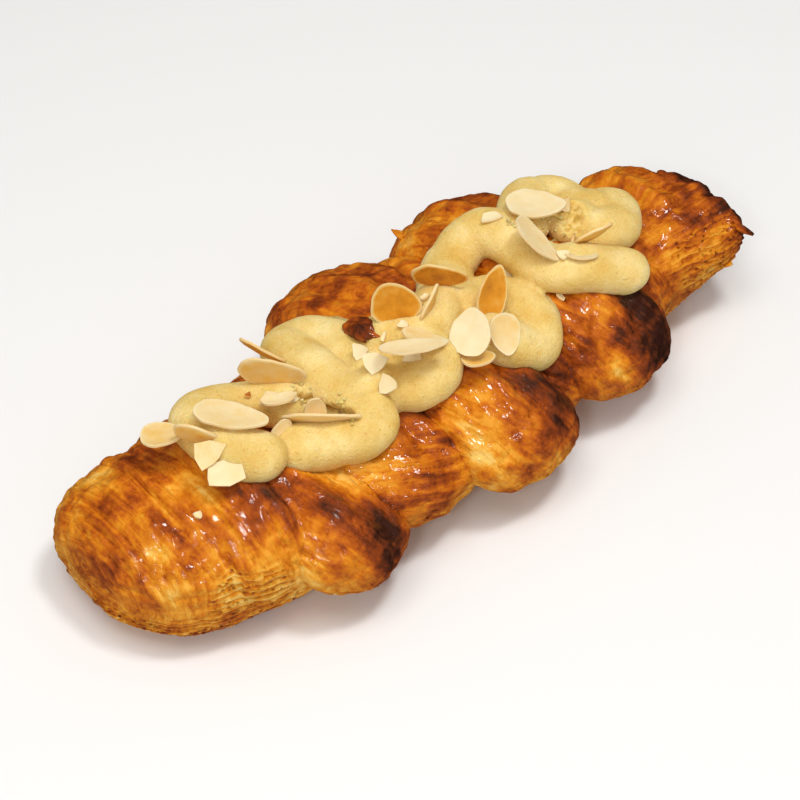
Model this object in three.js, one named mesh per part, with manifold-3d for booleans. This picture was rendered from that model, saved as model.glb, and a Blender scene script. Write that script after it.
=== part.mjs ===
// An almond croissant twist: laminated dough twisted into a long loaf and baked, a squiggle of
// almond cream piped along its crown, and sliced almonds strewn over the cream.
// Millimetres. X runs along the loaf, Y across it and Z up from the surface that it lies on.

import * as THREE from "three";
import { mergeVertices } from "three/addons/utils/BufferGeometryUtils.js";
import Module from "manifold-3d";

const wasm = await Module();
wasm.setup();

const { lerp, degToRad } = THREE.MathUtils;

// The folds of the loaf, from its round end to its tail. Each comes up on the far side (+Y),
// crosses the crown and goes down on the near side (-Y). `along` is where it crosses the crown,
// `slant` how far it runs towards +X on its way over, `width` its breadth along X, `far` and `near`
// how far out its skin reaches, `top` how high, `plump` how much broader it is at its two sides
// and `ridges` how many ridges of dough run along it.
const FOLDS = [
  { along: -75, slant: 2, width: 34, far: 31, near: -24, top: 35, plump: 0.1, ridges: 4 },
  { along: -58, slant: 4, width: 36, far: 31, near: -33, top: 38, plump: 0.12, ridges: 3 },
  { along: -46, slant: 8, width: 31, far: 27, near: -43, top: 35, plump: 0.1, ridges: 2 },
  { along: -21, slant: 14, width: 43, far: 33, near: -37, top: 35, plump: 0, ridges: 4 },
  { along: 10, slant: 9, width: 36, far: 49, near: -45, top: 40, plump: 0.08, ridges: 3 },
  { along: 32, slant: 12, width: 24, far: 42, near: -31, top: 34, plump: 0, ridges: 2 },
  { along: 53, slant: 7, width: 35, far: 48, near: -38, top: 41, plump: 0.12, ridges: 3 },
  { along: 73, slant: 6, width: 26, far: 38, near: -24, top: 36, plump: 0, ridges: 2 },
  { along: 97, slant: 4, width: 28, far: 29, near: -19, top: 35, plump: 0, ridges: 3 },
];
const DOUGH_THICKNESS = 22;
const DOUGH_MIDDLE = 17;
const TUCK_ANGLE = 0.9;
const RIDGE_DEPTH = 1.1;
const SHOULDER = 0.85;
const FOLD_BLUNTNESS = 5;
const FOLD_MESH = { sections: 17, sides: 20 };

// Dough that fills the folds and shows between them: the core, the bulb of the loaf's round end
// and the tail, which is the strip's cut end. `y`, `bottom` and `top` are given at both ends, and
// `blunt` is how square each is there.
const FILLINGS = [
  { from: -85, to: 98, y: [4, 4], halfWidth: 22, bottom: [-2, -2], top: [30, 30], blunt: 4 },
  { from: -100, to: -34, y: [8, -8], halfWidth: 28, bottom: [-3, -3], top: [34, 34], blunt: 3.2 },
  { from: 66, to: 117, y: [0, -5], halfWidth: 18.5, bottom: [-12, 18], top: [34, 33], blunt: 9 },
];
const FILLING_MESH = { sections: 18, sides: 24 };

// The bead of cream: half its width, its height above its middle, how far it sags below it into
// the grooves, how high its middle lies over the dough, the reach over which it bridges the
// grooves, how far each stretch runs into the next and how blunt its ends are.
const BEAD = { halfWidth: 8, halfHeight: 6, sag: 6, middle: 3, bridge: 5, overlap: 4, blunt: 4 };
// It is piped to and fro across the loaf. Each pass has its two ends, how far its middle bows
// towards +X, how far it is lifted by the cream that it lies on, and how fat it is.
const PASSES = [
  { near: [-50, -10], far: [-56, 12], bow: -3, lift: 0, fat: 1.2 },
  { near: [-33, -12], far: [-43, 11], bow: 3, lift: 0, fat: 1 },
  { near: [-21, -14], far: [-20, 20], bow: -2, lift: 1, fat: 1.05 },
  { near: [-7, -12], far: [-10, 12], bow: 1, lift: 0.5, fat: 1 },
  { near: [5, -11], far: [5, 7], bow: 2, lift: 0.5, fat: 1.1 },
  { near: [25, -19], far: [18, 2], bow: 1.5, lift: 0, fat: 1.15 },
  { near: [34, -17], far: [29, 12], bow: 3, lift: 0.5, fat: 1.05 },
  { near: [61, -22], far: [43, 17], bow: -5, lift: 0.5, fat: 1.05 },
  { near: [60, -12], far: [55, 10], bow: -2, lift: 0, fat: 1 },
  { near: [68, -7], far: [77, 9], bow: 3, lift: -0.5, fat: 1.2 },
];
const BEAD_MESH = { sections: 6, sides: 10 };

// The slices of almond: where the middle of each lies, which way its long axis points, how far it
// is tilted out of the level and which way its upper side then faces (degrees), its length and
// breadth, how deep it is pressed in, and the directions, measured from its long axis, in which a
// straight break has taken its edge away.
const SLICES = [
  { at: [-68.0, 10.3], turn: -38, tilt: 13, faces: 68, long: 11.3, wide: 10.5, sunk: 0.5 },
  { at: [-64.2, 1.9], turn: -43, tilt: 75, faces: 38, long: 11.5, wide: 8, sunk: 1.5 },
  { at: [-64.4, -3.4], turn: -41, tilt: 29, faces: -130,
    long: 12, wide: 11, sunk: 4.5, breaks: [90, 318, 197] },
  { at: [-63.1, -8.8], turn: -30, tilt: 30, faces: -110,
    long: 17, wide: 12, sunk: 4, breaks: [172, 277, 89, 21] },
  { at: [-53.2, 1.4], turn: -47, tilt: 14, faces: 13, long: 19.5, wide: 11, sunk: 0.5 },
  { at: [-37.3, 2.0], turn: -34, tilt: 20, faces: 81, long: 9.5, wide: 6, sunk: 0.5 },
  { at: [-34.0, 9.3], turn: -41, tilt: 86, faces: 45, long: 17.5, wide: 10, sunk: 2 },
  { at: [-30.1, 18.5], turn: -50, tilt: 61, faces: 19, long: 14, wide: 6, sunk: 2 },
  { at: [-31.9, -6.7], turn: -22, tilt: 78, faces: -122, long: 7, wide: 6.5, sunk: 2, breaks: [10] },
  { at: [-33.8, -10.1], turn: -41, tilt: 60, faces: 50, long: 19.5, wide: 8, sunk: 2.5 },
  { at: [-43.2, -5.9], turn: 52, tilt: 66, faces: -86, long: 8, wide: 7, sunk: 7 },
  { at: [-11.6, 0.8], turn: 26, tilt: 42, faces: -160, long: 7, wide: 6,
    sunk: 0, breaks: [-10, 125, 235] },
  { at: [-13.2, -7.2], turn: 12, tilt: 37, faces: -160, long: 10, wide: 8,
    sunk: 0, breaks: [20, 150, 255] },
  { at: [-15.1, -13.6], turn: 24, tilt: 43, faces: -168, long: 9, wide: 6,
    sunk: 0, breaks: [-20, 100, 205] },
  { at: [0.5, -10.5], turn: -49, tilt: 23, faces: 17, long: 11.8, wide: 8, sunk: 0.5 },
  { at: [-5.7, -13.7], turn: -37, tilt: 19, faces: 66, long: 17.5, wide: 7.5, sunk: 0.5 },
  { at: [20.4, -19.2], turn: -111, tilt: 45, faces: -95, long: 11, wide: 9, sunk: 0.5 },
  { at: [10.7, -17.1], turn: 31, tilt: 44, faces: -160, long: 12.5, wide: 11, sunk: 0 },
  { at: [11.0, -22.3], turn: -39, tilt: 14, faces: 59, long: 9, wide: 8, sunk: 10 },
  { at: [2.4, 2.6], turn: -45, tilt: 76, faces: -133, long: 13.5, wide: 12, sunk: 3 },
  { at: [9.5, -3.3], turn: -17, tilt: 82, faces: 113, long: 11, wide: 6, sunk: 3 },
  { at: [17.8, 2.8], turn: -41, tilt: 82, faces: 46, long: 15.3, wide: 8.5, sunk: 2 },
  { at: [26.0, -8.4], turn: 50, tilt: 60, faces: -91, long: 15.5, wide: 9, sunk: 3 },
  { at: [56.8, 7.6], turn: -42, tilt: 6, faces: 35, long: 16.5, wide: 12.5, sunk: 0 },
  { at: [45.7, -3.7], turn: -71, tilt: 38, faces: -36, long: 16, wide: 9.5, sunk: 0.5 },
  { at: [60.9, -11.0], turn: -31, tilt: 61, faces: 80, long: 11.5, wide: 7, sunk: 2 },
  { at: [53.2, -13.7], turn: -43, tilt: 24, faces: 42, long: 9.5, wide: 6, sunk: 1 },
];
const SLICE_THICKNESS = 1.2;
const SLICE_BEND = 0.8;
const SLICE_MESH = { sections: 4, sides: 12 };
// A slice's outline: how full it is, how much narrower it is at its pointed end, and how quickly
// its rim thins out.
const OUTLINE = { fullness: 0.45, point: 0.25, rim: 0.2 };
// How far from the middle of a slice it broke, as a share of its half length or breadth.
const BREAK_AT = 0.55;
// How far round its middle a slice takes its slope from.
const SLICE_BED = 7;

// The gap between the cream and the dough, and between a slice of almond and what it lies on.
const GAP = 0.35;
const SLICE_GAP = 0.5;

// The tail's cut edge, which is baked into a curled rim: a roll from its far corner to the point
// at its near corner.
const RIM = { far: [109, 11, 30], near: [110, -26, 30], sag: 2, thickness: [7, 4] };
const RIM_MESH = { sections: 9, sides: 8 };
// Flakes of crust that stand out at the sides: where each is rooted, the way it points (degrees
// from +X), and its length and breadth.
const FLAKES = [
  { root: [38, 41, 27], turn: 100, long: 5, wide: 6 },
  { root: [54, -32, 5], turn: -80, long: 6, wide: 7 },
  { root: [20, -38, 4], turn: -75, long: 5, wide: 8 },
  { root: [104, -20, 19], turn: -50, long: 4, wide: 7 },
];
const FLAKE_THICKNESS = 2;
const FLAKE_TIP = 0.35;
const FLAKE_MESH = { sections: 6, sides: 8 };
// How blunt the ends of the rim and the flakes are.
const TAPERED = 3;

// Lengths beyond every part of the loaf.
const BEYOND = 400;
const ABOVE = 200;
// Corners nearer to each other than this are one corner.
const MERGE_POLES = 1e-4;
const MERGE_CUTS = 1e-3;

// A power of a sine or cosine that keeps its sign: below 1 it squares a round section off.
const squared = (value, power) => Math.sign(value) * Math.pow(Math.abs(value), power);

// How far a section has opened out at a share of the length: 0 at both ends, nearly 1 between.
const opened = (share, bluntness) =>
  Math.sqrt(1 - Math.pow(Math.abs(2 * share - 1), bluntness));

// The same form serves for every rounded piece: a sphere whose rings, from pole to pole, become
// the sections of the piece. `place` gets the share of the length and the angle round the section.
function sectioned({ sections, sides }, place) {
  const ball = new THREE.SphereGeometry(1, sides, sections);
  ball.deleteAttribute("normal");
  ball.deleteAttribute("uv");
  const closed = mergeVertices(ball, MERGE_POLES);
  const position = closed.getAttribute("position");
  const point = new THREE.Vector3();
  for (let i = 0; i < position.count; i++) {
    point.fromBufferAttribute(position, i);
    const share = Math.acos(THREE.MathUtils.clamp(point.y, -1, 1)) / Math.PI;
    const placed = place(share, Math.atan2(point.z, point.x));
    position.setXYZ(i, placed.x, placed.y, placed.z);
  }
  return closed;
}

function solidOf(geometry) {
  return new wasm.Manifold(
    new wasm.Mesh({
      numProp: 3,
      vertProperties: geometry.getAttribute("position").array,
      triVerts: new Uint32Array(geometry.index.array),
    }),
  );
}

function geometryOf(solid) {
  const mesh = solid.getMesh();
  const geometry = new THREE.BufferGeometry();
  geometry.setAttribute("position", new THREE.BufferAttribute(mesh.vertProperties, 3));
  geometry.setIndex(new THREE.BufferAttribute(mesh.triVerts, 1));
  return geometry;
}

// The outer skin alone: hollows sealed by the joins are filled, and loose scraps dropped. The
// corners that a cut leaves all but on each other are drawn together first.
function settled(solid) {
  const bodies = solidOf(mergeVertices(geometryOf(solid), MERGE_CUTS)).decompose();
  return bodies.reduce((best, body) => (body.volume() > best.volume() ? body : best));
}

function blockOf(boxGeometry) {
  boxGeometry.deleteAttribute("normal");
  boxGeometry.deleteAttribute("uv");
  return solidOf(mergeVertices(boxGeometry));
}

function foldOfDough(fold) {
  const reach = (fold.far - fold.near) / 2 - DOUGH_THICKNESS / 2;
  const middle = (fold.far + fold.near) / 2;
  const rise = fold.top - DOUGH_THICKNESS / 2 - DOUGH_MIDDLE;
  const drop = DOUGH_MIDDLE - DOUGH_THICKNESS / 2 + 1;
  return sectioned(FOLD_MESH, (share, angle) => {
    const turn = lerp(-TUCK_ANGLE, Math.PI + TUCK_ANGLE, share);
    const size = opened(share, FOLD_BLUNTNESS);
    const outY = Math.cos(turn);
    const outZ = Math.sin(turn);
    const across = (fold.width / 2) * (1 + fold.plump * outY * outY) * size * Math.cos(angle);
    const ridge = RIDGE_DEPTH * Math.cos(Math.PI * fold.ridges * Math.cos(angle)) * size;
    const thickness = (DOUGH_THICKNESS / 2) * size + (Math.sin(angle) > 0 ? ridge : 0);
    const out = thickness * Math.sin(angle);
    return new THREE.Vector3(
      fold.along + (fold.slant * (turn - Math.PI / 2)) / Math.PI + across,
      middle + reach * squared(outY, SHOULDER) + out * outY,
      DOUGH_MIDDLE + (outZ > 0 ? rise : drop) * squared(outZ, SHOULDER) + out * outZ,
    );
  });
}

function filling(part) {
  return sectioned(FILLING_MESH, (share, angle) => {
    const size = opened(share, part.blunt);
    const bottom = lerp(...part.bottom, share);
    const halfHeight = (lerp(...part.top, share) - bottom) / 2;
    return new THREE.Vector3(
      lerp(part.from, part.to, share),
      lerp(...part.y, share) + part.halfWidth * size * squared(Math.cos(angle), SHOULDER),
      bottom + halfHeight + halfHeight * size * squared(Math.sin(angle), SHOULDER),
    );
  });
}

// A roll between two points that hangs a little in its middle.
function rolledRim({ far, near, sag, thickness }) {
  const start = new THREE.Vector3(...far);
  const end = new THREE.Vector3(...near);
  return sectioned(RIM_MESH, (share, angle) => {
    const radius = (lerp(...thickness, share) / 2) * opened(share, TAPERED);
    const centre = start.clone().lerp(end, share);
    centre.z -= sag * Math.sin(Math.PI * share);
    return new THREE.Vector3(
      centre.x + radius * Math.cos(angle),
      centre.y,
      centre.z + radius * Math.sin(angle),
    );
  });
}

// A thin tongue of crust, thick where it is rooted in the dough.
function flake({ root, turn, long, wide }) {
  const heading = new THREE.Vector3(Math.cos(degToRad(turn)), Math.sin(degToRad(turn)), 0);
  const across = new THREE.Vector3(-heading.y, heading.x, 0);
  return sectioned(FLAKE_MESH, (share, angle) => {
    const size = opened(share, TAPERED) * lerp(1, FLAKE_TIP, share);
    const point = new THREE.Vector3(...root);
    point.addScaledVector(heading, long * (share * 2 - 1));
    point.addScaledVector(across, (wide / 2) * size * Math.cos(angle));
    point.z += FLAKE_THICKNESS * size * Math.sin(angle);
    return point;
  });
}

// A slab of the surface below, which cuts the loaf's underside flat.
function slabBelow() {
  const slab = new THREE.BoxGeometry(BEYOND, BEYOND, BEYOND);
  slab.translate(0, 0, -BEYOND / 2);
  return blockOf(slab);
}

function makePastry() {
  const lobes = [...FILLINGS.map(filling), ...FOLDS.map(foldOfDough)];
  const edges = [rolledRim(RIM), ...FLAKES.map(flake)];
  const dough = [...lobes, ...edges].map(solidOf).reduce((whole, part) => whole.add(part));
  return settled(dough.subtract(slabBelow()));
}

// Height of a solid's skin seen from above.
function skinOf(solid) {
  const { index, attributes } = geometryOf(solid);
  const cornerAt = (vertex) => new THREE.Vector3().fromBufferAttribute(attributes.position, vertex);
  const corners = Array.from(index.array, cornerAt);
  const triangles = [];
  for (let i = 0; i < corners.length; i += 3) {
    const triangle = new THREE.Triangle(corners[i], corners[i + 1], corners[i + 2]);
    const bounds = new THREE.Box3().setFromPoints([triangle.a, triangle.b, triangle.c]);
    triangles.push({ triangle, bounds });
  }
  const down = new THREE.Vector3(0, 0, -1);
  return (x, y) => {
    const ray = new THREE.Ray(new THREE.Vector3(x, y, ABOVE), down);
    const hit = new THREE.Vector3();
    let height = 0;
    for (const { triangle, bounds } of triangles) {
      if (x < bounds.min.x || x > bounds.max.x || y < bounds.min.y || y > bounds.max.y) continue;
      if (bounds.max.z <= height) continue;
      if (ray.intersectTriangle(triangle.a, triangle.b, triangle.c, false, hit)) {
        height = Math.max(height, hit.z);
      }
    }
    return height;
  };
}

// The mean height over a spot, which smooths out the grooves below it.
function meanHeight(skin, x, y, reach) {
  const spots = [[0, 0], [reach, 0], [-reach, 0], [0, reach], [0, -reach]];
  return spots.reduce((sum, [dx, dy]) => sum + skin(x + dx, y + dy), 0) / spots.length;
}

// The cream is one bead piped to and fro: each pass and each turn is a bent rounded piece, and
// all of them flow together.
function makeCream(dough) {
  const skin = skinOf(dough);
  const stops = PASSES.flatMap(({ near, far, bow, lift, fat }, pass) => {
    const middle = [(near[0] + far[0]) / 2 + bow, (near[1] + far[1]) / 2];
    const spots = pass % 2 === 0 ? [near, middle, far] : [far, middle, near];
    return spots.map(([x, y]) => {
      const z = meanHeight(skin, x, y, BEAD.bridge) + BEAD.middle + lift;
      return { place: new THREE.Vector3(x, y, z), fat };
    });
  });
  const path = new THREE.CatmullRomCurve3(stops.map((stop) => stop.place));
  const last = stops.length - 1;
  const bead = (from, to) => {
    const overlap = BEAD.overlap / stops[from].place.distanceTo(stops[from + 1].place);
    return sectioned(BEAD_MESH, (share, angle) => {
      const stop = THREE.MathUtils.clamp(lerp(from - overlap, to + overlap, share), 0, last);
      const before = Math.min(Math.floor(stop), last - 1);
      const fat = lerp(stops[before].fat, stops[before + 1].fat, stop - before);
      const centre = path.getPoint(stop / last);
      const heading = path.getTangent(stop / last).setZ(0).normalize();
      const size = opened(share, BEAD.blunt) * fat;
      const side = BEAD.halfWidth * size * Math.cos(angle);
      const height = angle < 0 ? BEAD.sag : BEAD.halfHeight;
      return new THREE.Vector3(
        centre.x - heading.y * side,
        centre.y + heading.x * side,
        centre.z + height * size * Math.sin(angle),
      );
    });
  };
  const beads = PASSES.map((_, pass) => bead(3 * pass, 3 * pass + 2));
  for (let pass = 1; pass < PASSES.length; pass++) beads.push(bead(3 * pass - 1, 3 * pass));
  const piped = settled(beads.map(solidOf).reduce((whole, part) => whole.add(part)));
  return settled(piped.subtract(dough.translate([0, 0, GAP])));
}

// A box with its nearest face at a distance from the origin, in a direction of the XY plane.
function blockBeyond(distance, direction) {
  const block = new THREE.BoxGeometry(BEYOND, BEYOND, BEYOND);
  block.translate(distance + BEYOND / 2, 0, 0);
  block.rotateZ(degToRad(direction));
  return blockOf(block);
}

// One slice of almond, lying flat about the origin with its pointed end towards +X.
function sliceForm({ long, wide, breaks = [] }) {
  const whole = sectioned(SLICE_MESH, (share, angle) => {
    const reach = Math.pow(Math.sin(Math.PI * share), OUTLINE.fullness);
    const lengthwise = Math.cos(angle) * reach;
    const breadth = Math.sin(angle) * reach * (1 - OUTLINE.point * Math.cos(angle));
    const face = (SLICE_THICKNESS / 2) * squared(Math.cos(Math.PI * share), OUTLINE.rim);
    const bend = SLICE_BEND * lengthwise * lengthwise;
    return new THREE.Vector3((long / 2) * lengthwise, (-wide / 2) * breadth, face + bend);
  });
  return breaks.reduce((rest, direction) => {
    const along = Math.abs(Math.cos(degToRad(direction)));
    const distance = BREAK_AT * lerp(wide / 2, long / 2, along);
    return rest.subtract(blockBeyond(distance, direction));
  }, solidOf(whole));
}

// Lowers a tilted slice until it rests on the skin under it, sinks it in as far as it was pressed,
// and cuts away what would be inside the bed. The bed's slope says which way the gap to it opens.
function laySlice(slice, bed) {
  const [x, y] = slice.at;
  const height = (atX, atY) => Math.max(...bed.map(({ skin }) => skin(atX, atY)));
  const slopeX = (height(x + SLICE_BED, y) - height(x - SLICE_BED, y)) / (2 * SLICE_BED);
  const slopeY = (height(x, y + SLICE_BED) - height(x, y - SLICE_BED)) / (2 * SLICE_BED);
  const normal = new THREE.Vector3(-slopeX, -slopeY, 1).normalize();
  const pose = new THREE.Matrix4().makeTranslation(x, y, 0);
  pose.multiply(new THREE.Matrix4().makeRotationZ(degToRad(slice.faces)));
  pose.multiply(new THREE.Matrix4().makeRotationY(degToRad(slice.tilt)));
  pose.multiply(new THREE.Matrix4().makeRotationZ(degToRad(slice.turn - slice.faces)));
  const form = sliceForm(slice).transform(pose.elements);
  const corners = geometryOf(form).getAttribute("position");
  let rest = 0;
  for (let i = 0; i < corners.count; i++) {
    rest = Math.max(rest, height(corners.getX(i), corners.getY(i)) + SLICE_GAP - corners.getZ(i));
  }
  const laid = form.translate([0, 0, rest - slice.sunk]);
  const clear = normal.clone().multiplyScalar(SLICE_GAP).toArray();
  const cutters = bed.flatMap(({ solid }) => [solid, solid.translate(clear)]);
  return settled(cutters.reduce((whole, cutter) => whole.subtract(cutter), laid));
}

// The loaf stands on the origin with its middle above it.
const croissant = new THREE.Group();
const loaf = new THREE.Group();
croissant.add(loaf);

function addNode(name, solid, material) {
  const geometry = geometryOf(solid);
  geometry.computeVertexNormals();
  const mesh = new THREE.Mesh(geometry, material);
  mesh.name = name;
  loaf.add(mesh);
}

const CRUST = new THREE.MeshStandardMaterial({ color: 0xc9761e, roughness: 0.45 });
const CREAM = new THREE.MeshStandardMaterial({ color: 0xe8c46e, roughness: 0.6 });
const ALMOND = new THREE.MeshStandardMaterial({ color: 0xecd3a0, roughness: 0.6 });

const pastry = makePastry();
const cream = makeCream(pastry);
addNode("pastry", pastry, CRUST);
addNode("almond_cream", cream, CREAM);

const bed = [pastry, cream].map((solid) => ({ solid, skin: skinOf(solid) }));
SLICES.forEach((slice, i) => {
  const solid = laySlice(slice, bed);
  bed.push({ solid, skin: skinOf(solid) });
  addNode(`almond_slice_${String(i + 1).padStart(2, "0")}`, solid, ALMOND);
});

const box = new THREE.Box3().setFromObject(loaf);
const centre = box.getCenter(new THREE.Vector3());
loaf.position.set(-centre.x, -centre.y, -box.min.z);

export default croissant;
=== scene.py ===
# %% [markdown]
# # An almond croissant twist
# A long twisted loaf of laminated dough, brushed with egg and baked, with a bead of almond cream
# piped to and fro over its crown and sliced almonds strewn on the cream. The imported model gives
# the plain solids at their true places. Here each of them gets the skin of the real thing.

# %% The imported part
import math
from contextlib import contextmanager

import bmesh
import bpy
import numpy as np
from mathutils import Matrix, Vector
from mathutils.bvhtree import BVHTree


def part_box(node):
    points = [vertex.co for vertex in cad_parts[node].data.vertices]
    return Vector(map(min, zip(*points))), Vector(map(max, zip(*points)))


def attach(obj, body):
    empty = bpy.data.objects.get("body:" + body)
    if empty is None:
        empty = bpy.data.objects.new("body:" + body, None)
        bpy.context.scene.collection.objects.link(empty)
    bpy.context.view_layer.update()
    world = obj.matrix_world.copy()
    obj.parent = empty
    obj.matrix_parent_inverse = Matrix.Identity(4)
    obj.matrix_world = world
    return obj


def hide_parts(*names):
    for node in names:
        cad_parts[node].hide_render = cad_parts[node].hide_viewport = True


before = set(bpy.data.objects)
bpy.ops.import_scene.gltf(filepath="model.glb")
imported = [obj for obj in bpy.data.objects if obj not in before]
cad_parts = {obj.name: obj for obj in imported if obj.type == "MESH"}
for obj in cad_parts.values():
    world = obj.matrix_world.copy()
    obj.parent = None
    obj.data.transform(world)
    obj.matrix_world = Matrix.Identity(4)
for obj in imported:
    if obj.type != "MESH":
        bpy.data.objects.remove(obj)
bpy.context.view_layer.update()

# %% [markdown]
# ## Working in millimetres
# Baked dough is measured in millimetres, so every mesh is made in them and scaled to metres once,
# when it is finished. Points are handled as one numpy array for a whole mesh, because a loop over
# a hundred thousand corners in plain Python would take minutes.

# %% Points of a mesh as one array
MM = 0.001


def points_of(mesh):
    """The corners of a mesh, one row each."""
    flat = np.empty(len(mesh.vertices) * 3, np.float32)
    mesh.vertices.foreach_get("co", flat)
    return flat.reshape(-1, 3).astype(float)


def normals_of(mesh):
    """The way that the skin faces at each corner."""
    flat = np.empty(len(mesh.vertices) * 3, np.float32)
    mesh.vertex_normals.foreach_get("vector", flat)
    return flat.reshape(-1, 3).astype(float)


def move_points(mesh, points):
    """Puts the corners of a mesh at new places."""
    mesh.vertices.foreach_set("co", points.astype(np.float32).ravel())
    mesh.update()


def write_value(mesh, name, values):
    """Keeps a number for each corner, or one for them all, under a name for the materials."""
    layer = mesh.attributes.get(name) or mesh.attributes.new(name, "FLOAT", "POINT")
    each = np.broadcast_to(np.asarray(values, np.float32), len(mesh.vertices))
    layer.data.foreach_set("value", np.ascontiguousarray(each))


def read_value(mesh, name):
    """The numbers kept under a name, one for each corner."""
    values = np.empty(len(mesh.vertices), np.float32)
    mesh.attributes[name].data.foreach_get("value", values)
    return values.astype(float)


@contextmanager
def edited(mesh):
    """Opens a mesh for Blender's mesh operators, and writes back what they made of it."""
    bm = bmesh.new()
    bm.from_mesh(mesh)
    yield bm
    bm.to_mesh(mesh)
    bm.free()


# %% [markdown]
# ## Unevenness
# Nothing baked is even. A random value that changes smoothly from place to place serves for every
# lump, ripple and patch of browning. Blender has noise of its own, but it works on one point at a
# time, so this one is written for whole arrays. It is hashed from the place and a seed, and gives
# the same loaf each time.

# %% Smooth random values
HASH_PRIMES = np.array([374761393, 668265263, 2147483647])
SEED_STEP = 974634777
HASH_MIX = 1274126177


def noise(points, seed):
    """A value from -1 to 1 for each point, whose bumps are about one unit wide."""
    cell = np.floor(points).astype(np.int64)
    part = points - cell
    part = part * part * (3 - 2 * part)
    total = np.zeros(len(points))
    for corner in np.ndindex(*(2,) * points.shape[1]):
        key = (cell + corner) @ HASH_PRIMES[: points.shape[1]] + seed * SEED_STEP
        key = (key ^ (key >> 13)) * HASH_MIX
        value = ((key ^ (key >> 16)) & 0xFFFF) / 32767.5 - 1
        total += value * np.prod(np.where(np.array(corner, bool), part, 1 - part), axis=1)
    return total


def fractal(points, seed, layers=3):
    """Noise with finer noise on it, each layer half as wide and half as strong."""
    total = sum(noise(points * 2**k, seed + k) / 2**k for k in range(layers))
    return total / (2 - 0.5 ** (layers - 1))


def creased(points, seed):
    """Rounded ridges with narrow grooves between them, from -1 in a groove to 1."""
    return 2 * np.sqrt(np.abs(noise(points, seed))) - 1


def smooth(value, low, high):
    """0 below low, 1 above high and an even slope between."""
    share = np.clip((value - low) / (high - low), 0, 1)
    return share * share * (3 - 2 * share)


# %% [markdown]
# ## Camera
# The loaf is seen from its near left corner, from well above, through a long lens, so that it
# hardly tapers towards its far end. The distance is worked out from the size that a millimetre has
# in the picture: a long lens far away gives the same flat look as the product shot.

# %% The camera
AZIMUTH = math.radians(-41)
ELEVATION = math.radians(46)
CAMERA_DISTANCE = 0.64
CAMERA_TARGET = Vector((-8.5, -2.0, 20.0)) * MM
LENS = 108
SENSOR_WIDTH = 36
FRAME_SHIFT = 0.005

level = math.cos(ELEVATION)
towards_camera = Vector(
    (math.sin(AZIMUTH) * level, -math.cos(AZIMUTH) * level, math.sin(ELEVATION))
)
camera_data = bpy.data.cameras.new("camera")
camera_data.lens = LENS
camera_data.sensor_width = SENSOR_WIDTH
camera_data.shift_x = FRAME_SHIFT
camera_data.shift_y = -FRAME_SHIFT
camera = bpy.data.objects.new("camera", camera_data)
camera.location = CAMERA_TARGET + towards_camera * CAMERA_DISTANCE
camera.rotation_mode = "QUATERNION"
camera.rotation_quaternion = (-towards_camera).to_track_quat("-Z", "Y")
bpy.context.scene.collection.objects.link(camera)
bpy.context.scene.camera = camera
print("camera at, mm:", [round(place / MM) for place in camera.location])

# %% [markdown]
# ## The rounded piece that all dough is made of
# Each fold of the twist is a strip of dough bent over the loaf, with a rounded section and tucked
# ends. A sphere already has rings from pole to pole, so its rings become the sections of the
# piece. It is one closed skin from the start, with no seam to close. More of its columns are
# crowded to the outer side, because the inner side is inside the loaf.

# %% A sphere whose rings become sections
CROWDING = 0.6
SPACING = 0.91


def object_of(mesh, name):
    """A new object that holds a mesh."""
    made = bpy.data.objects.new(name, mesh)
    bpy.context.scene.collection.objects.link(made)
    return made


def ball_of(name, girth, length, crowding=CROWDING, spacing=SPACING):
    """A sphere's mesh, with how far along it and at what angle round it each corner is.

    The girth and length of the piece in mm and the spacing of its corners set how many it gets."""
    around = max(12, round(girth / spacing))
    along = max(8, round(length / spacing))
    mesh = bpy.data.meshes.new(name)
    with edited(mesh) as bm:
        bm.loops.layers.uv.new("grain")
        bmesh.ops.create_uvsphere(bm, u_segments=around, v_segments=along, radius=1)
    corners = points_of(mesh)
    share = np.arccos(np.clip(corners[:, 2], -1, 1)) / math.pi
    turned = np.arctan2(corners[:, 1], corners[:, 0]) + math.pi / 2
    angle = turned % (2 * math.pi) - math.pi / 2
    return mesh, share, angle + crowding * np.cos(angle)


def face_outwards(mesh):
    """Turns every face of a closed mesh outwards."""
    with edited(mesh) as bm:
        bmesh.ops.recalc_face_normals(bm, faces=bm.faces)


def squared(value, power):
    """A power of a sine or cosine that keeps its sign: below 1 it squares a section off."""
    return np.sign(value) * np.abs(value) ** power


def opened(share, bluntness):
    """How far a section has opened out: 0 at both ends of a piece, nearly 1 between."""
    return np.sqrt(np.clip(1 - np.abs(2 * share - 1) ** bluntness, 0, 1))


# %% [markdown]
# ## The shape of the loaf
# The folds, the dough between them, the curled end of the tail and the flakes at the sides are the
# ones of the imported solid, from the same sizes, so that nothing moves. Only the mesh is finer. A
# fold goes over the crown from a far reach to a near one, at a place along the loaf, with a slant,
# a width and a top. A plump one bulges at its sides. Ridges run along it, and its grain lies at an
# angle to it. All sizes are in mm and all angles in degrees.

# %% The folds and the dough between them
CENTRING = np.array([8.5, 2.0, 0.0])


def table(fields, *rows):
    """Rows of values, each value under the name of its field. The last fields may be left out."""
    return [dict(zip(fields.split(), row)) for row in rows]


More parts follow.
